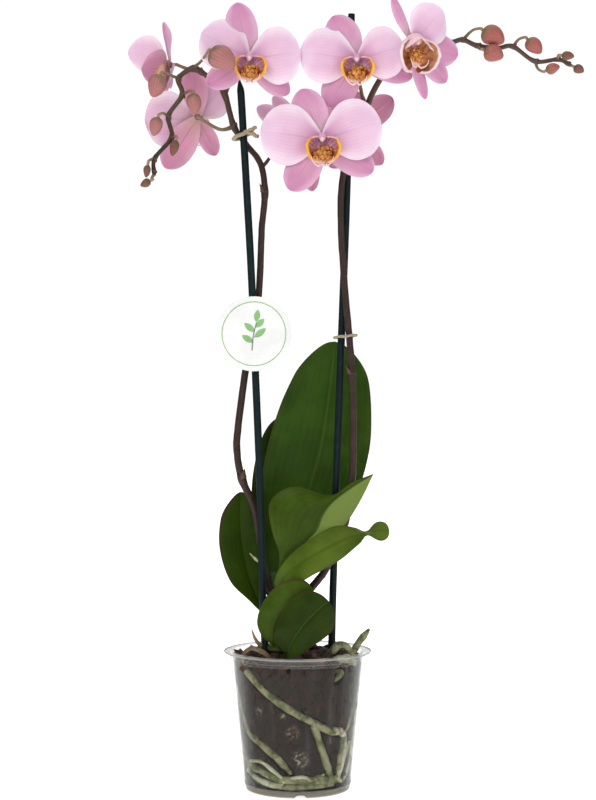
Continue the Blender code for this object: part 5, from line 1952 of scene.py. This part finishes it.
        def shape(t: Array, s: Array) -> Array:
            """Points of the ear.

            Args:
                t: Shares from base to tip.
                s: Shares across, -1 to 1.

            Returns:
                Points in millimetres, one a row.
            """
            foot, edge = read_at(foot_line, (s + 1) / 2), read_at(edge_line, (s + 1) / 2)
            grow = np.sin(0.5 * math.pi * np.minimum(t * 1.04, 1.0))[:, None]
            local = foot + (edge - foot) * grow
            local[:, 2] -= 4.6 * np.sin(math.pi * t) * (1 - 0.15 * s)
            curl = np.clip((t - 0.78) / 0.22, 0, 1)[:, None] ** 2
            local += (heart - local) * 0.12 * curl
            local[:, 2] += 0.4 * ripple(local, 6.0, 31 + sign)
            return self.put(local * self.size)

        faces = self.lobe_skins if sign > 0 else self.lobe_skins[::-1]
        side = "right" if sign > 0 else "left"
        ear = blade(f"{self.name}_{side}_lobe", shape, 24, 30, 0.9, *faces, margin=0.8)
        share = np.linspace(0.01, 0.99, 44)
        edge = read_at(edge_line, share)
        edge += (heart - edge) * 0.1
        edge += 0.3 * np.stack([ripple(edge, 7.0, k + 6 + 3 * sign) for k in range(3)], axis=1)
        thick = np.interp(share, [0, 0.12, 0.35, 0.6, 0.8, 1.0], [0.4, 0.75, 1.35, 1.2, 0.55, 0.3])
        roll = rod(f"{self.name}_{side}_rim", self.put(edge * self.size), thick * self.size, self.rim, 12,
                   seed=5 + sign, uneven=0.16)
        return [ear, roll]

    def awning(self) -> bpy.types.Object:
        """The rolled top of a half-open flower's lip, which hangs over the column like an awning.

        Returns:
            The awning.
        """

        def shape(t: Array, s: Array) -> Array:
            """Points of the awning, from its back to its free edge.

            Args:
                t: Shares from base to tip.
                s: Shares across, -1 to 1.

            Returns:
                Points in millimetres, one a row.
            """
            back, edge = 7.0 - 4.5 * s * s, 0.6 - 8.5 * s * s + 1.2 * np.cos(5 * s)
            y = back * (1 - t) + edge * t
            z = 5.0 + 8.5 * np.sin(0.5 * math.pi * t) - 2.0 * s * s
            local = np.stack([(9.0 + 4.5 * t) * s + 0.8, y, z], axis=1)
            local[:, 2] += 0.8 * ripple(local, 5.0, 41)
            return self.put(local * self.size)

        return blade(f"{self.name}_awning", shape, 20, 30, 0.9, AWNING, AWNING, 0.5)

    def lip(self) -> bpy.types.Object:
        """The lip: two ears, the spotted callus, the arrow-shaped front lobe and its two tendrils.

        Returns:
            The lip as one object.
        """
        pieces = [*self.lobe(1), *self.lobe(-1)]
        fade_out = np.array([0.7, 0.9, 1, 1, 0.95, 0.85, 0.7, 0.5])
        for k, (x, y, z, r) in enumerate(CALLUS_LUMPS):
            line = smooth_line([(x, y + 1.4, z - 2.5), (x, y, z), (x * 1.1, y - 1.2, z + 0.9)], 8) * self.size
            pieces.append(rod(f"{self.name}_callus_{k}", self.put(line), r * self.size * fade_out, CALLUS, 12,
                              uneven=0.2, seed=k))

        def front(t: Array, s: Array) -> Array:
            """Points of the front lobe: a keeled arrowhead that runs down and to the front.

            Args:
                t: Shares from base to tip.
                s: Shares across, -1 to 1.

            Returns:
                Points in millimetres, one a row.
            """
            wide = 2.6 + 4.6 * np.sin(math.pi * np.minimum(1.0, 0.12 + 0.95 * t)) ** 1.4
            keel = 0.5 * np.exp(-((s * 3) ** 2))
            y = -13.2 - 7.6 * t + 0.18 * np.abs(s) * wide
            z = 8.8 + 4.6 * t - 2.2 * t * t + 0.3 * wide * s * s + keel
            local = np.stack([wide * s, y, z], axis=1)
            local[:, 2] += 0.4 * ripple(local, 5.0, 77)
            return self.put(local * self.size)

        if self.lip_size > 1.2:
            pieces.append(self.awning())
        pieces.append(blade(f"{self.name}_front_lobe", front, 22, 18, 1.0, LIP_FRONT, LIP_BACK, 0.6))
        for sign in (-1, 1):
            line = [(sign * 0.8, -19.8, 12.0), (sign * 2.4, -21.5, 13.4), (sign * 5.4, -20.4, 15.2),
                    (sign * 7.6, -17.4, 15.8), (sign * 8.4, -14.6, 15.0)]
            path = self.put(smooth_line(line, 24) * self.size)
            radii = np.linspace(0.8, 0.28, 24) * self.size
            pieces.append(rod(f"{self.name}_tendril_{sign}", path, radii, TENDRIL, 8))
        return join(f"lip_of_{self.name}", pieces)

    def build(self) -> None:
        """Model the flower and dress it."""
        tepals = [self.tepal(part, 10 * index + ord(self.name)) for index, part in enumerate(Tepal)]
        flower = join(f"flower_{self.name}", [*tepals, *self.column()])
        settle(flower, "petal", f"bloom_{self.name}", crease=55)
        settle(self.lip(), "lip", f"lip_{self.name}", crease=55)
        LOG.info("bloom %s: %d faces", self.name, len(flower.data.polygons))


# ---------------------------------------------------------------- flower stalks and buds

SPIKE_LEFT: Line = [
    (-20.5, -8, 158), (-25.5, -8, 170), (-30, -8, 198), (-35, -8, 227), (-45, -8, 251), (-49, -8, 272),
    (-48.5, -8, 290), (-42, -8, 339), (-35, -8, 375), (-31, -8, 405), (-29, -8, 453), (-26.5, -8, 483),
    (-30, -8, 506), (-41, -8, 521), (-51.5, -8, 536), (-59, -8, 562), (-68, -9, 573), (-78, -10, 580),
    (-84, -12, 583), (-96, -14, 574), (-93, -15, 560.5), (-104, -15, 543.5), (-101.5, -15, 526.5),
    (-115, -15, 509.5), (-115.5, -15, 496.5),
]
SPIKE_RIGHT: Line = [
    (-10.2, -4.4, 149.3), (-4, -8, 153), (6, -9.5, 158.5), (16, -9.5, 169), (24, -9.5, 181), (38, -9.5, 216),
    (44, -9, 250), (45, -9, 299), (44, -9, 336), (42, -9, 363), (38, -9, 408), (35, -9, 455), (36, -9, 492),
    (44, -9, 521), (55, -9, 549), (61, -9, 564), (71, -8, 580), (88, -6, 595), (106, -5, 602),
    (125, -5, 605), (134, -5, 607), (146, -5, 602), (163, -5, 600.5), (174.5, -5, 601.5),
    (192.5, -5, 589.5), (211, -5, 591), (221, -5, 586.5),
]
# Buds: start on the stalk, a point of the flower stem, base of the bud, its tip, half-width.
BUDS: dict[str, tuple[Point, Point, Point, Point, float]] = {
    "left_1": ((-84, -12, 583), (-76, -29, 586), (-68, -46, 589.5), (-49.5, -55, 576), 9.6),
    "left_2": ((-96, -14, 574), (-103, -16, 576.5), (-110, -18, 576), (-116.5, -20, 558), 7.6),
    "left_3": ((-93, -15, 560.5), (-88, -17, 563), (-84, -19, 561), (-82, -21, 544), 6.0),
    "left_4": ((-104, -15, 543.5), (-108, -17, 545.5), (-112, -18, 542), (-116, -19, 527), 5.4),
    "left_5": ((-101.5, -15, 526.5), (-98, -17, 527), (-97.5, -18, 523.5), (-101, -18, 511), 3.8),
    "left_6": ((-115, -15, 509.5), (-119, -16, 508), (-120.5, -16, 504), (-122, -16, 494), 3.0),
    "left_7": ((-115.5, -15, 496.5), (-117.5, -15, 493.5), (-118.5, -15, 491.5), (-126.5, -15, 487.5), 3.4),
    "right_1": ((134, -5, 607), (141, -9, 613.5), (149, -14.5, 613), (166, -16, 602.5), 8.2),
    "right_2": ((146, -5, 602), (147, -12, 598), (150, -18, 596), (165, -20, 590), 7.2),
    "right_3": ((174.5, -5, 601.5), (179, -6, 607), (186, -7, 607), (197, -8, 595.5), 6.2),
    "right_4": ((192.5, -5, 589.5), (194.5, -6, 583.5), (201, -7, 581.5), (212, -8, 585), 4.4),
    "right_5": ((211, -5, 591), (210.5, -9, 592.5), (213, -12, 593), (223, -13, 592), 3.6),
    "right_6": ((221, -5, 586.5), (222.5, -5, 585.8), (224.0, -5, 585.0), (232, -5, 581), 3.8),
}
PEDICELS: dict[str, Line] = {
    "a": [(-59, -8, 562), (-53, -9, 574), (-44, -15, 584)],
    "b": [(-51.5, -8, 536), (-62, -6, 534), (-73, -1, 540)],
    "c": [(-78, -10, 580), (-88, -5, 583), (-96, 8, 588)],
    "d": [(40, -9, 508), (34, -10, 515), (24, -17, 519.5)],
    "e": [(55, -9, 549), (51, -10, 566), (47.5, -14, 582)],
    "f": [(88, -6, 595), (89, -14, 599)],
    "g": [(38.5, -9, 502), (29, -3, 513), (12, 0, 524)],
    "h": [(44, -9, 521), (49, -4, 528), (47, 8, 535)],
}


@dataclass
class Spike:
    """A flower stalk with its joints, scale leaves and the stems of its flowers and buds."""

    side: str
    line: Line
    flowers: str
    joints: tuple[int, ...]  # guide points of the bare joints, each with a scale leaf
    stub: Line | None = None
    thick: float = 3.2
    thin: float = 1.6

    def radius(self, share: float) -> float:
        """Radius at a share of the stalk's length.

        Args:
            share: Share of its length.

        Returns:
            The radius.
        """
        return self.thick - (self.thick - self.thin) * share**1.2

    def collar(self, path: Array, at: int, radius: float, name: str, scale: float) -> list[bpy.types.Object]:
        """A joint: a slight swelling with a pale line, and a small scale leaf that clasps it.

        Args:
            path: Points of the stalk.
            at: Number of the joint's point.
            radius: Radius there.
            name: Name of the joint.
            scale: Size of the scale leaf.

        Returns:
            The swelling, its line and the scale leaf.
        """
        around = path[max(at - 2, 0) : at + 3]
        swell = radius * np.array([1.0, 1.16, 1.24, 1.14, 1.0])[: len(around)]
        ring = rod(f"{name}_joint", around, swell, STALK, 18, (0.1, 0.1))
        way = unit(around[-1] - around[0])
        pale = rod(f"{name}_line", [path[at] - way * 0.35, path[at], path[at] + way * 0.35],
                   radius * np.array([1.2, 1.27, 1.2]), JOINT, 18, (0.1, 0.1))
        side = unit(np.cross(way, vec(0.2, 1, 0.3))) * (1 if len(name) % 2 else -1)
        rise = unit(np.cross(side, way))

        def clasp(t: Array, s: Array) -> Array:
            """Points of the scale leaf.

            Args:
                t: Shares from base to tip.
                s: Shares across, -1 to 1.

            Returns:
                Points in millimetres, one a row.
            """
            turn = s * 1.5 * (1 - t**2.2)
            spread = radius * 1.25 + 0.25 + 0.6 * scale * t**2
            out = side * np.cos(turn)[:, None] + rise * np.sin(turn)[:, None]
            return path[at] + out * spread[:, None] + way * (0.2 + 5.2 * scale * t)[:, None]

        scale_leaf = blade(f"{name}_bract", clasp, 10, 12, 0.45, BRACT, BRACT, 0.5)
        return [ring, pale, scale_leaf]

    def stem(self, name: str, points: Sequence[Array | Point], radii: Sequence[float]) -> bpy.types.Object:
        """The stem of a flower or a bud, thicker where it leaves the stalk.

        Args:
            name: Name of the flower or bud.
            points: Its guide points.
            radii: Radii, evenly spaced along it.

        Returns:
            The stem.
        """
        path = smooth_line(np.array(points, float), 8 * len(points))
        share = np.linspace(0, 1, len(path))
        radius = np.interp(share, np.linspace(0, 1, len(radii)), radii) * (1 + 0.35 * np.exp(-share * 14))
        return rod(f"stem_{name}", path, radius, PEDICEL, 12, uneven=0.05)

    def build(self) -> None:
        """Model the stalk and all that grows on it, as one piece."""
        steps = 8
        path = smooth_line(self.line, steps * (len(self.line) - 1) + 1)
        share = np.linspace(0, 1, len(path))
        radii = np.array([self.radius(x) for x in share])
        pieces = [rod(f"stalk_{self.side}", path, radii, STALK, 16, uneven=0.05)]
        for index in self.joints:
            at = index * steps
            pieces += self.collar(path, at, radii[at], f"{self.side}_{index}", 0.9 + 0.5 * (index < 12))
        for name in self.flowers:
            place, turn, size, _ = BLOOMS[name]
            front = facing(*turn)[:, 2]
            ends = [vec(*place) - front * (HUB * size + gap) for gap in (3.5, CLEAR)]
            start = vec(*PEDICELS[name][0])
            pieces.append(self.stem(name, [*PEDICELS[name], *ends], (1.6, 1.35, 1.5)))
            pieces += self.node_scale(start, path, f"{self.side}_{name}")
        for name, (start, middle, base, tip, _) in BUDS.items():
            if name.startswith(self.side):
                way = unit(vec(*tip) - vec(*base))
                points = [start, middle, vec(*base) - way * 2.4, vec(*base) - way * CLEAR]
                pieces.append(self.stem(name, points, (1.25, 1.1, 1.3)))
                pieces += self.node_scale(vec(*start), path, f"{self.side}_{name}")
        if self.stub:
            line = smooth_line(self.stub, 8)
            pieces.append(rod("stub", line, np.linspace(1.6, 1.35, 8), STALK, 14, (0.3, 0.1)))
            way = unit(line[-1] - line[-2])
            pieces.append(rod("stub_cut", [line[-1], line[-1] + way * 0.25], 1.3, CUT_END, 14, (0.1, 0.1)))
        settle(join(f"flower_stalk_{self.side}", pieces), "spike", f"spike_{self.side}", crease=50)
        LOG.info("spike %s: %d parts", self.side, len(pieces))

    def node_scale(self, start: Array, path: Array, name: str) -> list[bpy.types.Object]:
        """The small joint where a flower or bud stem leaves the stalk.

        Args:
            start: Where the stem starts.
            path: Points of the stalk.
            name: Name of the joint.

        Returns:
            Its swelling, its line and its scale leaf.
        """
        at = int(np.argmin(np.linalg.norm(path - start, axis=1)))
        at = min(max(at, 2), len(path) - 3)
        return self.collar(path, at, self.radius(at / len(path)), name, 0.45)


@dataclass
class Bud:
    """A shut flower bud: three outer sepals with shallow seams, fuller on one side, blunt at the tip."""

    name: str
    base: Point
    tip: Point
    half: float

    def skin(self) -> BudSkin:
        """The skin, browner on the young buds at the ends of the stalks.

        Returns:
            The skin.
        """
        if self.half < 4.2:
            return YOUNG_BUD
        return GREEN_BUD if self.name.startswith("left") else BUD_SKIN

    def build(self) -> None:
        """Shape a sphere into the bud."""
        base, tip = vec(*self.base), vec(*self.tip)
        way = unit(tip - base)
        side = unit(np.cross(way, vec(0.3, 1, 0.1)))
        turn = np.column_stack([side, np.cross(way, side), way])
        length = float(np.linalg.norm(tip - base)) / 2
        deselect_all()
        bpy.ops.mesh.primitive_uv_sphere_add(segments=48, ring_count=28, radius=1.0)
        bud = named(f"{self.name}_shape", self.skin())
        round_ = points_of(bud) * MM
        angle, rise = np.arctan2(round_[:, 1], round_[:, 0]), round_[:, 2]
        seam = 1 - 0.07 * np.exp(-((np.sin(1.5 * angle + 0.6) / 0.16) ** 2)) * (1 - rise**2) ** 0.3
        rib = 1 + 0.02 * np.cos(12 * angle) * (1 - rise**2)
        squeeze = (1.0 - 0.26 * rise) * (1 - 0.10 * np.clip(rise, 0, 1) ** 3)
        fuller = 1 + 0.07 * np.cos(angle - 1.0) * (1 - rise**2)
        wide = self.half * 0.97 * squeeze * seam * rib * fuller
        local = np.stack([round_[:, 0] * wide, round_[:, 1] * wide * 0.92, rise * length], axis=1)
        local[:, 0] += 0.04 * self.half * np.sin(3 * rise)
        move_points(bud, local @ turn.T + (base + tip) / 2)
        close_seams(bud)
        settle(bud, "bud", f"bud_{self.name}", crease=60)


# ---------------------------------------------------------------- stakes, ties and label

STAKE_R = 3.0
STAKE_LEFT: Line = [(-26, -16, 30), (-26, -16, 106), (-28, -16, 154), (-30.5, -16, 250), (-34, -15.5, 339),
                    (-37, -15, 411), (-40.5, -15, 476), (-45.6, -15, 562)]
STAKE_RIGHT: Line = [(26, -2, 30), (27.5, -2, 104), (28.5, -2, 152), (31.5, -2, 250), (35.5, -2, 363),
                     (40, -2, 485), (43.8, -2, 628.5)]


class StakeEnd(Enum):
    """How the top of a stake is finished."""

    POINTED = "pointed"
    CUT = "cut"


@dataclass
class Stake:
    """A thin coated stake standing in the bark."""

    side: str
    line: Line
    end: StakeEnd
    peak: Point = (-47, -15, 573)

    def build(self) -> None:
        """Model the stake and its end."""
        path = smooth_line(self.line, 60)
        radii = np.full(len(path), STAKE_R)
        if self.end is StakeEnd.POINTED:
            path = np.vstack([path, smooth_line([path[-1], vec(*self.peak)], 10)[1:]])
            radii = np.concatenate([radii, np.interp(np.linspace(0, 1, 9), [0, 0.25, 1], [3.0, 2.75, 0.7])])
            dome = (0.2, 0.8)
        else:
            radii[-1] = STAKE_R - 0.25
            dome = (0.2, 0.12)
        stake = rod(f"stake_{self.side}_coated", path, radii, STAKE_COAT, 28, dome, 0.018, seed=9)
        settle(stake, "stake", f"stake_{self.side}", crease=35)
        LOG.info("stake %s", self.side)


@dataclass
class Tie:
    """A paper-covered wire bent round a stake and a stalk, with its ends twisted and cut."""

    side: str
    centre: Point
    long_half: float
    short_half: float
    slope: float
    tails: Sequence[Line] = ()
    wire: float = 1.1

    def build(self) -> None:
        """Wind the wire and its tails."""
        a = np.linspace(0, 2 * math.pi * 0.985, 64)
        x, y, z = self.centre
        loop = np.stack([x + self.long_half * np.cos(a), y + self.short_half * np.sin(a),
                         z + self.slope * np.cos(a) + 0.25 * np.sin(5 * a)], axis=1)
        pieces = [rod(f"tie_{self.side}_loop", loop, self.wire, TIE_PAPER, 12, uneven=0.12, flat=0.8)]
        for k, points in enumerate(self.tails):
            path = smooth_line(points, 24)
            tangents, sides, ups = frames_along(path)
            twist = np.linspace(0, 5 * math.pi, 24) + k * math.pi
            swing = 0.35 * (sides * np.cos(twist)[:, None] + ups * np.sin(twist)[:, None])
            pieces.append(rod(f"tie_{self.side}_tail_{k}", path + swing, np.linspace(1.7, 1.5, 24),
                              TIE_PAPER, 12, (0.4, 0.15), 0.1, seed=6 + k))
            last = path[-1] + swing[-1]
            pieces.append(rod(f"tie_{self.side}_end_{k}", [last, last + tangents[-1] * 0.4], 0.9,
                              TIE_END if k else CUT_END, 10, (0.1, 0.1)))
        settle(join(f"wire_tie_{self.side}", pieces), "tie", f"tie_{self.side}")
        LOG.info("tie %s", self.side)


@dataclass
class Label:
    """A round white card on the left stake, with a clip behind it and a plain printed sprig and ring."""

    centre: Point = (-35.0, -22.0, 368.0)
    radius: float = 30.0
    thick: float = 1.2

    def build(self) -> None:
        """Model the card, its clip and its print."""
        pieces = [self.card(), *self.clip(), *self.printing()]
        settle(join("round_label", pieces), "label", "label", crease=35)
        LOG.info("label")

    def card(self) -> bpy.types.Object:
        """The disc, its rim rounded and its face set in by a hair.

        Returns:
            The card.
        """
        deselect_all()
        bpy.ops.mesh.primitive_cylinder_add(
            vertices=144, radius=self.radius * MM, depth=self.thick * MM,
            location=[c * MM for c in self.centre], rotation=(math.pi / 2, 0, 0),
        )
        card = named("label_card", CARD)
        apply_place(card)
        bpy.ops.object.mode_set(mode="EDIT")
        bpy.ops.mesh.select_mode(type="FACE")
        bpy.ops.mesh.select_all(action="DESELECT")
        bpy.ops.object.mode_set(mode="OBJECT")
        for face in card.data.polygons:
            face.select = len(face.vertices) > 4
        bpy.ops.object.mode_set(mode="EDIT")
        bpy.ops.mesh.inset(thickness=0.5 * MM)
        bpy.ops.mesh.inset(thickness=0.4 * MM, depth=-0.06 * MM)
        bpy.ops.object.mode_set(mode="OBJECT")
        bevel = card.modifiers.new("Edge", "BEVEL")
        bevel.width, bevel.segments, bevel.limit_method = 0.22 * MM, 3, "ANGLE"
        apply_modifiers(card)
        return card

    def clip(self) -> list[bpy.types.Object]:
        """The clip round the stake and the web that joins it to the card.

        Returns:
            Its rings and web.
        """
        x, y, z = self.centre
        a = np.linspace(math.radians(-70), math.radians(250), 40)
        pieces = []
        for k in range(5):
            height = z - 5 + 0.8 + k * 2.1
            lean = -0.6 * (height - z) / 16
            ring = np.stack([x + 0.2 + lean + 4.25 * np.cos(a), y + 6.4 + 4.25 * np.sin(a),
                             np.full(40, height)], axis=1)
            pieces.append(rod(f"clip_{k}", ring, 1.06, CARD, 12, (0.4, 0.4)))
        pieces.append(rod("clip_web", [(x - 0.1, y + 0.4, z), (x - 0.1, y + 1.3, z), (x - 0.1, y + 2.4, z)],
                          [3.9, 3.6, 3.9], CARD, 24, (0.1, 0.1)))
        return pieces

    def printing(self) -> list[bpy.types.Object]:
        """A thin ring and a sprig of five leaves, raised by the ink's thickness.

        Returns:
            The ring, the stalk and its leaves.
        """
        x, _, z = self.centre
        front = self.centre[1] - self.thick / 2 + 0.03
        a = np.linspace(0, 2 * math.pi, 120)
        ring = np.stack([x + 25.5 * np.cos(a), np.full(120, front), z + 25.5 * np.sin(a)], axis=1)
        pieces = [rod("print_ring", ring, 0.34, PRINT_GREEN, 6, (0.1, 0.1))]
        stalk = smooth_line([(x - 1.5, front, z - 13), (x - 0.5, front, z - 2), (x + 2.0, front, z + 9)], 20)
        pieces.append(rod("print_stalk", stalk, 0.42, PRINT_GREY, 6))
        sprig = ((-7, 148, 11), (-3, 38, 12), (1.5, 140, 11), (5, 44, 10), (9.5, 80, 10))
        for k, (rise, lean, long) in enumerate(sprig):
            start = vec(x - 1.0 + (rise + 13) * 0.12, front, z + rise)
            way = vec(math.cos(math.radians(lean)), 0, math.sin(math.radians(lean)))
            side = vec(-way[2], 0, way[0])

            def flat_leaf(t: Array, s: Array, start: Array = start, way: Array = way, side: Array = side,
                          long: float = long) -> Array:
                """Points of one printed leaf.

                Args:
                    t: Shares from base to tip.
                    s: Shares across, -1 to 1.
                    start: Its base.
                    way: The way it grows.
                    side: The way across it.
                    long: Its length.

                Returns:
                    Points in millimetres, one a row.
                """
                wide = 2.5 * np.sin(math.pi * t) ** 0.8
                return start + way * (long * t)[:, None] + side * (wide * s)[:, None]

            pieces.append(blade(f"print_leaf_{k}", flat_leaf, 16, 4, 0.12, PRINT_GREEN, PRINT_GREEN, 1.0))
        return pieces


# ---------------------------------------------------------------- the whole plant


def write_sizes() -> None:
    """Bring the view layer up to date."""
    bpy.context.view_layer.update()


def main() -> None:
    """Build every sub-assembly in order."""
    logging.basicConfig(level=logging.INFO, format="%(message)s")
    LOG.info("solids to dress: %d", len(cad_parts))
    Studio().build()
    Pot().build()
    Roots().build()
    BarkMix().build()
    Stem().build()
    for leaf in all_leaves():
        leaf.build()
    for name, (place, turn, size, changes) in BLOOMS.items():
        flower = Bloom(name, vec(*place), facing(*turn), size, changes, rosy=ROSY.get(name, ()),
                       pale=("dorsal", "right_petal") if name == "g" else ())
        if name == "f":
            flower.half_open()
        flower.build()
    Spike("left", SPIKE_LEFT, "abc", (4, 11), [(-29, -8, 503), (-25, -8, 507.5), (-21.5, -9, 512.5)]).build()
    Spike("right", SPIKE_RIGHT, "defgh", (5, 8)).build()
    for name, (_, _, base, tip, half) in BUDS.items():
        Bud(name, base, tip, half).build()
    Stake("left", STAKE_LEFT, StakeEnd.POINTED).build()
    Stake("right", STAKE_RIGHT, StakeEnd.CUT).build()
    Tie("left", (-44.3, -11.8, 528.5), 7.7, 8.1, 3.2, [
        [(-42, -18.6, 530), (-37, -20.0, 532), (-33.5, -20, 534)],
        [(-42, -18.6, 530), (-36.5, -20.4, 528.5), (-32, -20.5, 526)]], wire=1.55).build()
    Tie("right", (38.7, -5.5, 366.5), 9.1, 9.1, 1.0).build()
    Label().build()
    write_sizes()


if __name__ == "__main__":
    main()
